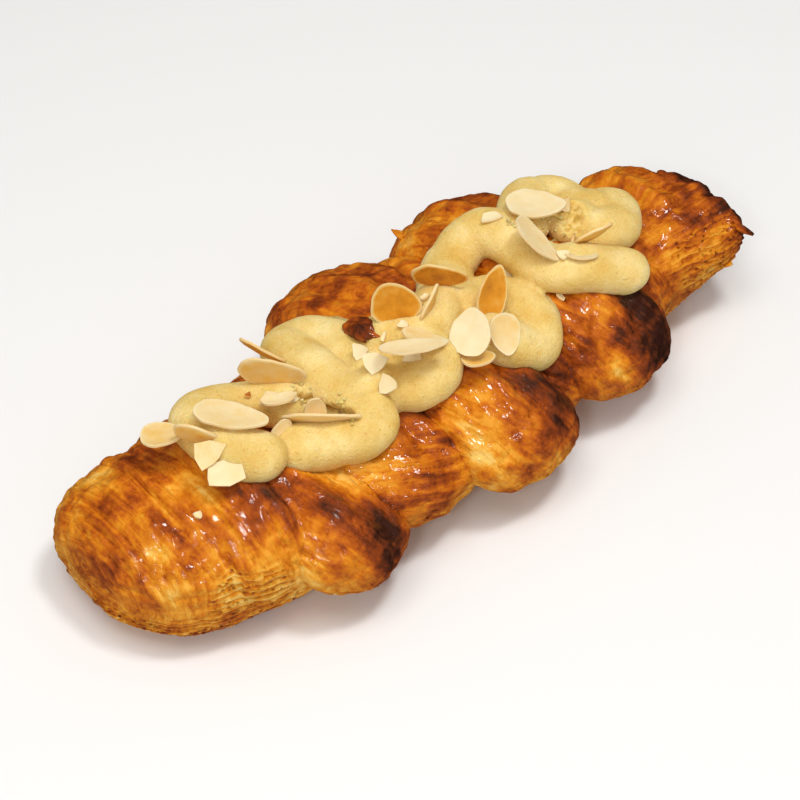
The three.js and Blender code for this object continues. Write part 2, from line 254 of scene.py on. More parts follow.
FOLDS = table(
    "along slant width far near top plump ridges grain flows",
    (-75, 2, 34, 31, -24, 35, 0.1, 4, 90, "bulb"),
    (-58, 4, 36, 31, -33, 38, 0.12, 3, 90, "bulb"),
    (-46, 8, 31, 27, -43, 35, 0.1, 2, 80),
    (-21, 14, 43, 33, -37, 35, 0, 4, 40),
    (10, 9, 36, 49, -45, 40, 0.08, 3, 80),
    (32, 12, 24, 42, -31, 34, 0, 2, 70),
    (53, 7, 35, 48, -38, 41, 0.12, 3, 80),
    (73, 6, 26, 38, -24, 36, 0, 2, 80),
    (97, 4, 28, 29, -19, 35, 0, 3, 75, "tail"),
)
DOUGH_THICKNESS = 22
DOUGH_MIDDLE = 17
TUCK_ANGLE = 0.9
RIDGE_DEPTH = 1.1
# The ridges fade where a fold turns down at its sides.
RIDGE_FADE = 0.7
RIDGE_FADES = (0.5, 0.95)
OUTER_SIDE = (0.2, 0.75)
SHOULDER = 0.85
FOLD_BLUNTNESS = 5
# What a fold measures round its section, for each mm of its width and thickness together, and
# along its bend, for each mm of half its reach.
GIRTH_SHARE = 1.7
BEND_SHARE = 4.6
BELOW_TRAY = 1
# The middle, bottom and top of a filling run evenly from its start to its end.
FILLINGS = table(
    "start end y half_width bottom top blunt flows",
    (-85, 98, (4, 4), 22, (-2, -2), (30, 30), 4),
    (-100, -34, (8, -8), 28, (-3, -3), (34, 34), 3.2, "bulb"),
    (66, 117, (0, -5), 18.5, (-12, 18), (34, 33), 9, "tail"),
)


def lerp(ends, share):
    """The value at a share of the way between two."""
    return ends[0] + (ends[1] - ends[0]) * share


# A filling is mostly hidden, and the corners of a hidden one lie further apart.
FILLING_GIRTH = 6
FILLING_LENGTH = 1.6
FILLING_CROWDING = 0.2
HIDDEN_SPACING = 2.5
# The bulb and the tail are each one lump of dough, whose parts flow into each other. This is the
# middle of the section of each and its half width and half height.
LUMPS = {
    "bulb": dict(y=4, z=16, half_width=28, half_height=19),
    "tail": dict(y=-4, z=20, half_width=19, half_height=16),
}
LUMP_END = 25


def keep_lie(mesh, across, along, outer=1, flows=None):
    """Keeps where each corner lies on its strip in mm, and whether it flows into a lump."""
    points = points_of(mesh)
    if flows:
        lump = LUMPS[flows]
        side = (points[:, 1] - lump["y"]) / lump["half_width"]
        rise = (points[:, 2] - lump["z"]) / lump["half_height"]
        girthwise = np.arctan2(side, rise) * lump["half_width"]
        lengthwise = points[:, 0] - LUMP_END * np.clip(1 - np.hypot(side, rise), 0, 1)
        across, along = (lengthwise, girthwise) if flows == "bulb" else (girthwise, points[:, 0])
    write_value(mesh, "across", across)
    write_value(mesh, "along", along)
    write_value(mesh, "outer", 1 if flows else outer)
    write_value(mesh, "melts", 1 if flows else 0)
    write_value(mesh, "known", 1)
    corner_of = np.empty(len(mesh.loops), np.int32)
    mesh.loops.foreach_get("vertex_index", corner_of)
    grain = np.stack([across, along], axis=1)[corner_of] * MM
    mesh.uv_layers["grain"].data.foreach_set("uv", grain.astype(np.float32).ravel())
    face_outwards(mesh)
    return mesh


def fold_of_dough(fold):
    """A fold's mesh in mm."""
    half_reach = (fold["far"] - fold["near"]) / 2
    girth = GIRTH_SHARE * (fold["width"] + DOUGH_THICKNESS)
    mesh, share, angle = ball_of("fold", girth, BEND_SHARE * half_reach)
    reach = half_reach - DOUGH_THICKNESS / 2
    rise = fold["top"] - DOUGH_THICKNESS / 2 - DOUGH_MIDDLE
    drop = DOUGH_MIDDLE - DOUGH_THICKNESS / 2 + BELOW_TRAY
    turn = lerp((-TUCK_ANGLE, math.pi + TUCK_ANGLE), share)
    size = opened(share, FOLD_BLUNTNESS)
    out_y, out_z = np.cos(turn), np.sin(turn)
    breadth = fold["width"] / 2 * (1 + fold["plump"] * out_y**2) * size * np.cos(angle)
    ridge = RIDGE_DEPTH * np.cos(math.pi * fold["ridges"] * np.cos(angle)) * size
    ridge *= 1 - RIDGE_FADE * smooth(np.abs(out_y), *RIDGE_FADES)
    thickness = DOUGH_THICKNESS / 2 * size + np.where(np.sin(angle) > 0, ridge, 0)
    out = thickness * np.sin(angle)
    x = fold["along"] + fold["slant"] * (turn - math.pi / 2) / math.pi + breadth
    y = (fold["far"] + fold["near"]) / 2 + reach * squared(out_y, SHOULDER) + out * out_y
    z = DOUGH_MIDDLE + np.where(out_z > 0, rise, drop) * squared(out_z, SHOULDER) + out * out_z
    move_points(mesh, np.stack([x, y, z], axis=1) - CENTRING)
    across = (math.pi / 2 - angle) * (fold["width"] + DOUGH_THICKNESS) / 4
    along = (turn - math.pi / 2) * half_reach
    lie = math.radians(fold["grain"])
    crosswise = across * math.sin(lie) - along * math.cos(lie)
    lengthwise = across * math.cos(lie) + along * math.sin(lie)
    outer = smooth(np.sin(angle), *OUTER_SIDE)
    return keep_lie(mesh, crosswise, lengthwise, outer, fold.get("flows"))


def filling_of_dough(part):
    """The mesh of the dough between the folds, in mm."""
    length = part["end"] - part["start"]
    spacing = SPACING if "flows" in part else HIDDEN_SPACING
    girth = FILLING_GIRTH * part["half_width"]
    mesh, share, angle = ball_of("filling", girth, FILLING_LENGTH * length, FILLING_CROWDING, spacing)
    size = opened(share, part["blunt"])
    bottom = lerp(part["bottom"], share)
    half_height = (lerp(part["top"], share) - bottom) / 2
    x = lerp((part["start"], part["end"]), share)
    y = lerp(part["y"], share) + part["half_width"] * size * squared(np.cos(angle), SHOULDER)
    z = bottom + half_height + half_height * size * squared(np.sin(angle), SHOULDER)
    move_points(mesh, np.stack([x, y, z], axis=1) - CENTRING)
    return keep_lie(mesh, angle * part["half_width"], x, flows=part.get("flows"))


# %% The curled end and the flakes
RIM = dict(far=(109, 11, 30), near=(110, -26, 30), sag=2, thickness=(7, 4), girth=18, length=50)
FLAKES = table(
    "root turn long wide",
    ((38, 41, 27), 100, 5, 6),
    ((54, -32, 5), -80, 6, 7),
    ((20, -38, 4), -75, 5, 8),
    ((104, -20, 19), -50, 4, 7),
)
FLAKE_THICKNESS = 2
FLAKE_GIRTH = 2.5
FLAKE_TIP = 0.35
TAPERED = 3


def curled_rim():
    """The roll of dough along the cut end of the tail."""
    mesh, share, angle = ball_of("rim", RIM["girth"], RIM["length"], crowding=0)
    radius = lerp(RIM["thickness"], share) / 2 * opened(share, TAPERED)
    centre = lerp((np.array(RIM["far"]), np.array(RIM["near"])), share[:, None])
    x = centre[:, 0] + radius * np.cos(angle)
    z = centre[:, 2] - RIM["sag"] * np.sin(math.pi * share) + radius * np.sin(angle)
    move_points(mesh, np.stack([x, centre[:, 1], z], axis=1) - CENTRING)
    return keep_lie(mesh, angle * RIM["thickness"][0] / 2, centre[:, 1])


def flake_of_crust(flake):
    """A thin tongue of crust that stands out at the side."""
    girth = FLAKE_GIRTH * flake["wide"]
    mesh, share, angle = ball_of("flake", girth, 2 * flake["long"], crowding=0)
    way = math.radians(flake["turn"])
    heading = np.array([math.cos(way), math.sin(way), 0])
    sideways = np.array([-math.sin(way), math.cos(way), 0])
    size = opened(share, TAPERED) * lerp((1, FLAKE_TIP), share)
    points = np.array(flake["root"], float) + np.outer(flake["long"] * (2 * share - 1), heading)
    points += np.outer(flake["wide"] / 2 * size * np.cos(angle), sideways)
    points[:, 2] += FLAKE_THICKNESS * size * np.sin(angle)
    move_points(mesh, points - CENTRING)
    return keep_lie(mesh, angle, share * flake["long"])


# %% [markdown]
# ## Joining the dough
# The pieces of dough run through each other, and only their common outer skin is the loaf. A
# voxel remesh would join them too, but it rounds the creases between the folds off and forgets the
# grain. A Boolean union keeps both. The same operation cuts the underside flat with a slab, as the
# tray did. The cuts make new corners that know nothing of the dough, so these take the mean of
# their neighbours.

# %% The union
BEYOND = 400


def slab_below():
    """A block whose top is the tray."""
    mesh = bpy.data.meshes.new("slab")
    with edited(mesh) as bm:
        bm.loops.layers.uv.new("grain")
        bmesh.ops.create_cube(bm, size=BEYOND)
        bmesh.ops.translate(bm, vec=(0, 0, -BEYOND / 2), verts=bm.verts)
    return mesh


def joined(meshes, name, cutter):
    """One closed mesh of many, with what is inside the cutter taken away."""
    parts = [object_of(mesh, "part") for mesh in (*meshes, cutter)]
    for part in parts[1:]:
        boolean = parts[0].modifiers.new("join", "BOOLEAN")
        boolean.operation = "DIFFERENCE" if part is parts[-1] else "UNION"
        boolean.solver = "MANIFOLD"
        boolean.object = part
    seen = parts[0].evaluated_get(bpy.context.evaluated_depsgraph_get())
    mesh = bpy.data.meshes.new_from_object(seen)
    mesh.name = name
    for part in parts:
        bpy.data.objects.remove(part)
    return mesh


def edges_of(mesh):
    """The two ends of every edge of a mesh."""
    ends = np.empty(len(mesh.edges) * 2, np.int32)
    mesh.edges.foreach_get("vertices", ends)
    return ends.reshape(-1, 2)


def neighbours_of(mesh):
    """The numbers of all pairs of neighbouring corners, both ways round, as two rows."""
    ends = edges_of(mesh)
    return np.concatenate([ends, ends[:, ::-1]]).T


def largest_body(mesh):
    """Drops every loose scrap of a mesh and keeps its largest body."""
    ends = edges_of(mesh)
    body = np.arange(len(mesh.vertices))
    while True:
        lowest = np.minimum(body[ends[:, 0]], body[ends[:, 1]])
        before = body.copy()
        np.minimum.at(body, ends[:, 0], lowest)
        np.minimum.at(body, ends[:, 1], lowest)
        body = body[body]
        if (body == before).all():
            break
    names, sizes = np.unique(body, return_counts=True)
    scrap = np.flatnonzero(body != names[sizes.argmax()])
    with edited(mesh) as bm:
        bm.verts.ensure_lookup_table()
        bmesh.ops.delete(bm, geom=[bm.verts[index] for index in scrap], context="VERTS")
    return len(names)


def tell_new_corners(mesh, names):
    """Gives the corners that the cuts made the mean values of their neighbours."""
    known = read_value(mesh, "known") > 0.99
    here, beside = neighbours_of(mesh)
    values = {name: read_value(mesh, name) for name in names}
    print("new corners:", np.count_nonzero(~known))
    while not known.all():
        told = known[here] & ~known[beside]
        if not told.any():
            break
        count = np.bincount(beside[told], minlength=len(known))
        for name in names:
            total = np.bincount(beside[told], values[name][here[told]], minlength=len(known))
            values[name] = np.where(count > 0, total / np.maximum(count, 1), values[name])
        known = known | (count > 0)
    for name in names:
        write_value(mesh, name, values[name])


dough = [filling_of_dough(part) for part in FILLINGS] + [fold_of_dough(fold) for fold in FOLDS]
dough += [curled_rim()] + [flake_of_crust(flake) for flake in FLAKES]
loaf = joined(dough, "twisted_loaf", slab_below())
print("bodies before the scraps are dropped:", largest_body(loaf))
tell_new_corners(loaf, ("across", "along", "outer", "melts"))
print("loaf:", sum(len(face.vertices) - 2 for face in loaf.polygons), "triangles")

# %% [markdown]
# ## Lumps that flow together
# The round end and the tail are each one lump of dough, though several pieces make them up here.
# Relaxing the corners of these lumps again and again melts the steps between their pieces, while
# the creases between the folds stay sharp.

# %% Melting
MELTING_STEPS = 34
ON_TRAY = 0.4


def relax(bm, corners, times):
    """Moves corners half way to the middle of their neighbours, again and again."""
    axes = dict(use_axis_x=True, use_axis_y=True, use_axis_z=True)
    for _ in range(times):
        bmesh.ops.smooth_vert(bm, verts=corners, factor=0.5, **axes)


def melt_lumps(mesh):
    """Relaxes the corners that belong to a lump, apart from those on the tray."""
    soft = (read_value(mesh, "melts") > 0.5) & (points_of(mesh)[:, 2] > ON_TRAY)
    with edited(mesh) as bm:
        bm.verts.ensure_lookup_table()
        relax(bm, [bm.verts[index] for index in np.flatnonzero(soft)], MELTING_STEPS)
    print("corners relaxed:", np.count_nonzero(soft))


melt_lumps(loaf)

# %% [markdown]
# ## The skin of the dough
# Laminated dough shows its layers. On the crown they are bands that were stretched along the
# strip, with narrow grooves between them. Low down at the sides the layers open in thin shelves.
# On top of both come the soft lumps of the bubbles below. All of it moves the corners along the
# way that the skin faces, so a side view shows it too.

# %% Relief
BAND_WIDTH = 5
BAND_LENGTH = 30
FINE_WIDTH = 2.1
FINE_LENGTH = 12
BLISTER = 4
SHELF_HEIGHT = 2.3
LUMP = 11

# How high each kind of relief stands out, in mm.
LUMP_STANDS = 0.9
BAND_STANDS = 0.7
FINE_STANDS = 0.2
BLISTER_STANDS = 0.34
GRIT_STANDS = 0.18
SHELF_STANDS = 0.85
# The whole relief is moved this far inwards, so that the loaf keeps its size.
SUNK = 0.3
# The layers open from the higher of these levels down to the lower one, and on the near side of
# the tail from the first of these places to the second.
OPEN_BELOW = (10, 20)
TAIL_ALONG = (74, 84)
TAIL_ACROSS = (11, 17)
# Where the crust of the round end tore as it rose, and how far the tear reaches along x, y and z.
TORN_CRUST = (-74, -26, 18, 17, 9, 10)


def openness(points):
    """Where the layers of the dough lie open: low down, on the near side of the tail, and where
    the crust tore."""
    low = 1 - smooth(points[:, 2] + 2 * noise(points / 8, 16), *OPEN_BELOW)
    tail_side = smooth(points[:, 0], *TAIL_ALONG) * smooth(-points[:, 1], *TAIL_ACROSS)
    wavy = points + 2 * noise(points / 6, 17)[:, None]
    away = (((wavy - TORN_CRUST[:3]) / TORN_CRUST[3:]) ** 2).sum(axis=1)
    return np.maximum(np.maximum(low, 0.85 * tail_side), 0.9 * (1 - smooth(away, 0.7, 1.1)))


def relief_of(points, across, along):
    """How far the skin stands out or in, mm, and how far each corner is up a band, -1 to 1."""
    across = across + 2.5 * noise(points / 18, 2) + 0.9 * noise(points / 5, 8)
    along = along + 3 * noise(points / 7, 9)
    wide = creased(np.stack([across / BAND_WIDTH, along / BAND_LENGTH], axis=1), 3)
    fine = creased(np.stack([across / FINE_WIDTH, along / FINE_LENGTH], axis=1), 4)
    low = openness(points)
    crown = 0.3 + 0.7 * smooth(points[:, 2], 16, 32)
    wavy = points[:, 2] + 2.2 * noise(points / 9, 6) + 0.7 * noise(points / 3, 10)
    shelf = (wavy / SHELF_HEIGHT) % 1
    blisters = creased(points / BLISTER, 12)
    bands = (BAND_STANDS * wide + FINE_STANDS * fine) * crown * (1 - 0.6 * low)
    height = LUMP_STANDS * fractal(points / LUMP, 1) + bands
    height += BLISTER_STANDS * blisters * (1 - low) + GRIT_STANDS * noise(points / 2, 7)
    height += low * (SHELF_STANDS * shelf - 0.42)
    on_tray = smooth(points[:, 2], 0.2, 2.5)
    return (height - SUNK) * on_tray, 0.5 * wide + 0.3 * fine + 0.2 * blisters


# %% [markdown]
# ## Browning
# The oven browns what stands out and what was brushed with egg, and burns the thin tips. Dough
# that the twist opened while it rose stays pale gold. One number from 0, pale, to 1, burnt, is
# kept for each corner. Its even part follows the height and the bands, and painted shade darkens
# the grooves. The patches that make this loaf the one it is are a short list of places, in mm, with
# how much paler or darker, how broad and how long each is. A second number keeps how thickly the
# egg wash lies.

# %% Patches of browning, and egg wash
PALE_PATCHES = [
    (-90, 15, 30, 0.25, 5, 10), (-72, 5, 34, 0.25, 3.5, 9), (-76, -10, 34, 0.22, 3, 8),
    (-85, 1, 33, 0.25, 3, 4), (-93, -8, 25, 0.3, 3.5, 9), (-73, -26, 21, 0.34, 15, 7),
    (-64, -29, 13, 0.3, 10, 5), (-85, -21, 19, 0.12, 8, 5), (-44, -21, 34, 0.3, 8, 8),
    (-37, -25, 31, 0.22, 8, 6), (-9, -25, 30, 0.38, 6, 12), (-5, -34, 23, 0.25, 6, 6),
    (44, -26, 33, 0.3, 3.5, 6), (42, -33, 23, 0.3, 4, 4), (37, 32, 32, 0.15, 6, 5),
    (22, 32, 32, 0.3, 6, 6), (91, -20, 24, 0.15, 8, 5),
]
DARK_PATCHES = [
    (-79, 13, 34, 0.22, 6, 8), (-93, 4, 28, 0.15, 3, 6), (-89, -7, 30, 0.4, 1.6, 3),
    (-89, -13, 27, 0.55, 2, 3), (-67, -14, 35, 0.1, 9, 14), (-61, -17, 35, 0.15, 3, 5),
    (-69, -19, 33, 0.15, 3, 4), (-54, -30, 29, 0.6, 2.2, 3.6), (-59, -31, 24, 0.5, 1.6, 1.8),
    (-51, -23, 32, 0.25, 3.5, 6), (-97, 0, 21, 0.15, 10, 5), (-15, -19, 33, 0.25, 6, 5),
    (-15, -29, 29, 0.4, 2, 2), (-11, -31, 26, 0.6, 1.4, 2), (-21, -34, 23, 0.2, 6, 1.5),
    (-43, -38, 28, 0.4, 1.6, 6), (-49, -40, 21, 0.5, 1.8, 1.6), (19, -33, 31, 0.5, 10, 9),
    (20, -38, 28, 0.15, 6, 6), (11, -42, 25, 0.35, 3.5, 2.5), (24, -42, 20, 0.5, 2.5, 4.5),
    (23, -35, 30, 0.25, 1.8, 1.8), (6, -42, 23, 0.2, 5, 3),
    (57, -26, 35, 0.22, 9, 5), (60, -30, 30, 0.2, 4, 5), (45, -31, 29, 0.5, 1.8, 2),
    (54, -37, 21, 0.35, 3, 2), (58, -35, 26, 0.25, 4, 7), (61, -37, 15, 0.25, 3, 5),
    (104, -6, 33, 0.04, 12, 12), (99, -16, 30, 0.3, 2.2, 2), (91, -12, 32, 0.2, 3, 2),
    (97, 0, 36, 0.3, 1.2, 1), (105, -22, 22, 0.4, 3, 3), (108, -24, 28, 0.5, 5, 4),
    (-1, 30, 35, 0.1, 8, 6), (50, 38, 34, 0.25, 9, 6), (9, 32, 36, 0.1, 6, 4),
    (-46, -38, 23, 0.52, 7, 10), (54, -32, 28, 0.38, 14, 12), (-22, -30, 30, 0.1, 14, 10),
    (48, -36, 24, 0.25, 3, 5), (34, -30, 27, 0.2, 4, 4),
]
# Patches have frayed rims, and fade out over their last mm.
PATCH_FRAY = 1.6
PATCH_RIM = 0.8
PATCH_FALL = 0.9
FIRST_BROWNING = 0.35
HEIGHT_BROWNING = 0.1
BAND_BROWNING = 0.17
CLOUD_BROWNING = 0.22
FRECKLE_BROWNING = 0.07
INNER_PALENESS = 0.06
# Painted shade in the grooves: how much darker a groove is made, and how its depth is found.
GROOVE_SHADE = 0.22
GROOVE_STEPS = 6
GROOVE_DEPTHS = (0.06, 0.5)
# The rim of the tail's cut end is the thinnest edge, and burns first.
BURNT_FROM = 104
BURNT = 0.5


def groove_depth(mesh):
    """How far each corner lies in a groove, 0 to 1: how much lower it is than those around it."""
    points = points_of(mesh)
    here, beside = neighbours_of(mesh)
    count = np.maximum(np.bincount(beside, minlength=len(points)), 1)
    spread = points.copy()
    for _ in range(GROOVE_STEPS):
        sums = [np.bincount(beside, column[here], len(points)) for column in spread.T]
        spread = np.stack(sums, axis=1) / count[:, None]
    return smooth(((spread - points) * normals_of(mesh)).sum(axis=1), *GROOVE_DEPTHS)


def browning_of(points, band, outer, groove):
    """How far each corner is browned, with painted shade in the grooves, and how thickly the egg wash lies
    on it, both 0 to 1.
    """
    height = points[:, 2]
    brown_and_shade = FIRST_BROWNING + HEIGHT_BROWNING * smooth(height, 10, 36) + BAND_BROWNING * band
    uneven = CLOUD_BROWNING * fractal(points / 9, 11) + FRECKLE_BROWNING * noise(points / 3, 15)
    brown_and_shade += uneven - INNER_PALENESS * (1 - outer)
    # Painted shade: a corner that lies in a groove is darkened, as shade would darken it.
    brown_and_shade += GROOVE_SHADE * groove
    frayed = [PATCH_FRAY * fractal(points / 4, seed) for seed in (21, 22, 23)]
    torn = points + np.stack(frayed, axis=1)
    for sign, patches in ((-1, PALE_PATCHES), (1, DARK_PATCHES)):
        for x, y, z, amount, wide, long in patches:
            reach = np.array([wide, long, long]) + PATCH_RIM
            away = (((torn - (x, y, z)) / reach) ** 2).sum(axis=1)
            brown_and_shade += sign * amount * np.exp(-PATCH_FALL * away)
    brown_and_shade += BURNT * smooth(torn[:, 0] - 0.35 * np.abs(height - 31), BURNT_FROM - 5, BURNT_FROM)
    wash = smooth(height, 10, 20) * (0.35 + 0.65 * outer)
    return np.clip(brown_and_shade, 0, 1), wash


def bake(mesh):
    """Gives the loaf its relief, its browning with painted shade in the grooves, and its egg wash."""
    points = points_of(mesh)
    height, band = relief_of(points, read_value(mesh, "across"), read_value(mesh, "along"))
    baked = points + normals_of(mesh) * height[:, None]
    baked[:, 2] = np.maximum(baked[:, 2], 0)
    move_points(mesh, baked)
    brown_and_shade, wash = browning_of(baked, band, read_value(mesh, "outer"), groove_depth(mesh))
    write_value(mesh, "brown_and_shade", brown_and_shade)
    write_value(mesh, "wash", wash)
    write_value(mesh, "low", openness(baked))
    print("loaf, mm:", baked.min(axis=0).round(1), baked.max(axis=0).round(1))


bake(loaf)

# %% [markdown]
# ## The cream
# The cream was piped as one fat bead, to and fro over the crown. It sagged into the hollows of the
# dough while it baked, and kept narrow creases where one stretch lies against the next. Balls
# along each stroke of the nozzle give the bead. A voxel remesh then melts them into one skin,
# which is what soft cream does, and keeps the creases, which are wider than a voxel.

# %% Where the nozzle went
STROKES = [
    [(-42, 3), (-48, 10), (-57, 12.5), (-65, 10), (-66, 0), (-64, -6), (-60.5, -9.5)],
    [(-49, -11.5), (-41.5, -14.5), (-35.5, -17.5), (-30, -17.5), (-29.5, -11), (-30, -1),
     (-29.5, 9), (-27, 20), (-21, 19.5), (-17.5, 12.5), (-17, 4), (-18, -4), (-20, -10)],
    [(-9.5, 1.5), (-5, -4), (-4, -11.5), (-8, -16.5), (-13.5, -14.5), (-15, -10)],
    [(-6, -7.5), (3.5, -3), (14, 4), (22.5, 12.5), (29.5, 14.5), (36, 13), (38.5, 6.5),
     (38, -1), (40, -9.5), (46.5, -15), (56.5, -20.5)],
    [(13, -3), (22, -2.5), (26.5, -8.5), (27, -15.5), (23, -21), (16.5, -20.5), (11.5, -15)],
    [(45.5, 7.5), (54, 15.5), (62.5, 14.5), (64, 8), (58.5, 1)],
    [(61.5, 5.5), (68.5, 3), (74, 1), (68.5, -5.5), (61.5, -5.5)],
]
BEAD_HALF_WIDTH = 7.4
BEAD_HALF_HEIGHT = 5.8
BEAD_LIFT = 3.0
BEAD_WAVER = 0.09
BRIDGED = 5
BALL_SPACING = 1.4
VOXEL = 0.5


def tree_of(mesh):
    """A tree that finds quickly where a line meets a mesh."""
    with edited(mesh) as bm:
        return BVHTree.FromBMesh(bm)


def drop_on(tree, x, y):
    """The skin's highest place at x, y, and the way that it faces there, or two Nones."""
    place, facing, _, _ = tree.ray_cast(Vector((x, y, BEYOND)), Vector((0, 0, -1)))
    return place, facing


loaf_tree = tree_of(loaf)


def mean_height(x, y):
    """The height of the dough around a spot, which smooths the grooves away."""
    spots = [(0, 0), (BRIDGED, 0), (-BRIDGED, 0), (0, BRIDGED), (0, -BRIDGED)]
    found = [drop_on(loaf_tree, x + dx, y + dy)[0] for dx, dy in spots]
    heights = [place.z for place in found if place is not None]
    return sum(heights) / len(heights)


def along_stroke(stroke):
    """Evenly spaced places on a smooth line through a stroke's points."""
    ends = [np.array(point, float) for point in stroke]
    ends = [2 * ends[0] - ends[1]] + ends + [2 * ends[-1] - ends[-2]]
    line = []
    for a, b, c, d in zip(ends, ends[1:], ends[2:], ends[3:]):
        steps = max(2, round(float(np.linalg.norm(c - b)) / BALL_SPACING))
        for t in np.arange(steps) / steps:
            bent = 2 * b + (c - a) * t + (2 * a - 5 * b + 4 * c - d) * t**2
            line.append((bent + (3 * b - a - 3 * c + d) * t**3) / 2)
    return line + [ends[-2]]


# %% The bead
def piped_bead():
    """Balls along every stroke, joined in one mesh and melted together."""
    mesh = bpy.data.meshes.new("balls")
    with edited(mesh) as bm:
        for index, stroke in enumerate(STROKES):
            line = along_stroke(stroke)
            rough = 1 + BEAD_WAVER * noise(np.array(line) / 9, 31 + index)
            for place, fat in zip(line, rough):
                made = bmesh.ops.create_icosphere(bm, subdivisions=3, radius=1)["verts"]
                size = (BEAD_HALF_WIDTH * fat, BEAD_HALF_WIDTH * fat, BEAD_HALF_HEIGHT * fat)
                bmesh.ops.scale(bm, vec=size, verts=made)
                height = mean_height(*place) + BEAD_LIFT
                bmesh.ops.translate(bm, vec=(*place, height), verts=made)
    return melted(mesh)


def melted(mesh):
    """One even skin round everything in a mesh, from small voxels."""
    maker = object_of(mesh, "melting")
    remesh = maker.modifiers.new("melt", "REMESH")
    remesh.mode = "VOXEL"
    remesh.voxel_size = VOXEL
    seen = maker.evaluated_get(bpy.context.evaluated_depsgraph_get())
    skin = bpy.data.meshes.new_from_object(seen)
    bpy.data.objects.remove(maker)
    return skin


cream = piped_bead()
print("cream:", len(cream.polygons), "faces")

# %% [markdown]
# ## Torn cream and its rest on the crust
# The bead broke open in a few places when almonds were pressed in, and shows a crumbly inside.
# There the skin is pushed in and roughened. Everywhere else it only undulates a little, as a
# bead does that leaves the nozzle unevenly. What would lie inside the dough is lifted on to it, so
# that the cream rests on the crust with no gap and runs through nothing.

# %% Tears, ripples and contact
# Where each tear is, how broad and long it is, and how far it is pushed in.
TEARS = [
    (-38.5, -6.6, 38.5, 2.6, 2.6, 3),
    (-37.5, -10.6, 38, 3, 2.6, 3.6),
    (-35.7, -14.3, 37.5, 2.6, 2.6, 3),
    (-39.1, -1.3, 38, 2, 3.5, 2.6),
    (56, 1, 42, 4, 6, 2.0),
]
CONTACT = 0.1
VOXEL_STEPS = 4
TEAR_FRAY = 1.5
TEAR_CRUMB = 2.5
TEAR_ROUGHNESS = 0.5
RIPPLE = 0.3
FINE_RIPPLE = 0.1


def finish_cream(mesh):
    """Tears and ripples the cream, and lets it rest on the crust."""
    with edited(mesh) as bm:
        relax(bm, bm.verts, VOXEL_STEPS)
        bmesh.ops.recalc_face_normals(bm, faces=bm.faces)
    points = points_of(mesh)
    torn = np.zeros(len(points))
    sunk = np.zeros(len(points))
    fray = [TEAR_FRAY * fractal(points / TEAR_CRUMB, seed) for seed in (41, 42, 43)]
    frayed = points + np.stack(fray, axis=1)
    for x, y, z, wide, long, deep in TEARS:
        away = (((frayed - (x, y, z)) / (wide, long, 2 * wide)) ** 2).sum(axis=1)
        here = 1 - smooth(away, 0.6, 1.2)
        torn = np.maximum(torn, here)
        sunk = np.maximum(sunk, here * deep)
    height = RIPPLE * noise(points / 7, 44) + FINE_RIPPLE * fractal(points / 2.2, 45)
    height += torn * TEAR_ROUGHNESS * fractal(points / TEAR_CRUMB, 46) - sunk
    moved = points + normals_of(mesh) * height[:, None]
    for index, (x, y, z) in enumerate(moved):
        crust, _ = drop_on(loaf_tree, x, y)
        if crust is not None and z < crust.z + CONTACT:
            moved[index, 2] = crust.z + CONTACT
    move_points(mesh, moved)
    write_value(mesh, "torn", torn)
    print("cream, mm:", moved.min(axis=0).round(1), moved.max(axis=0).round(1))


finish_cream(cream)

# %% [markdown]
# ## Almond slices
# A sliced almond is a thin oval chip, a little pointed at one end and slightly cupped, with a
# flat face and a rounded rim. Some snapped, and have a straight ragged side. A flattened sphere is
# the nearest start: its rings are the outline at different depths. Each slice is as long and wide
# as its imported solid, in mm. It lies at the same spot, turned, tilted and facing the same way, in
# degrees, and its top is as high. How far it is toasted, together with painted shade on a face
# turned from the light, runs from 0 to 1. It is broken off in each direction that is named last.

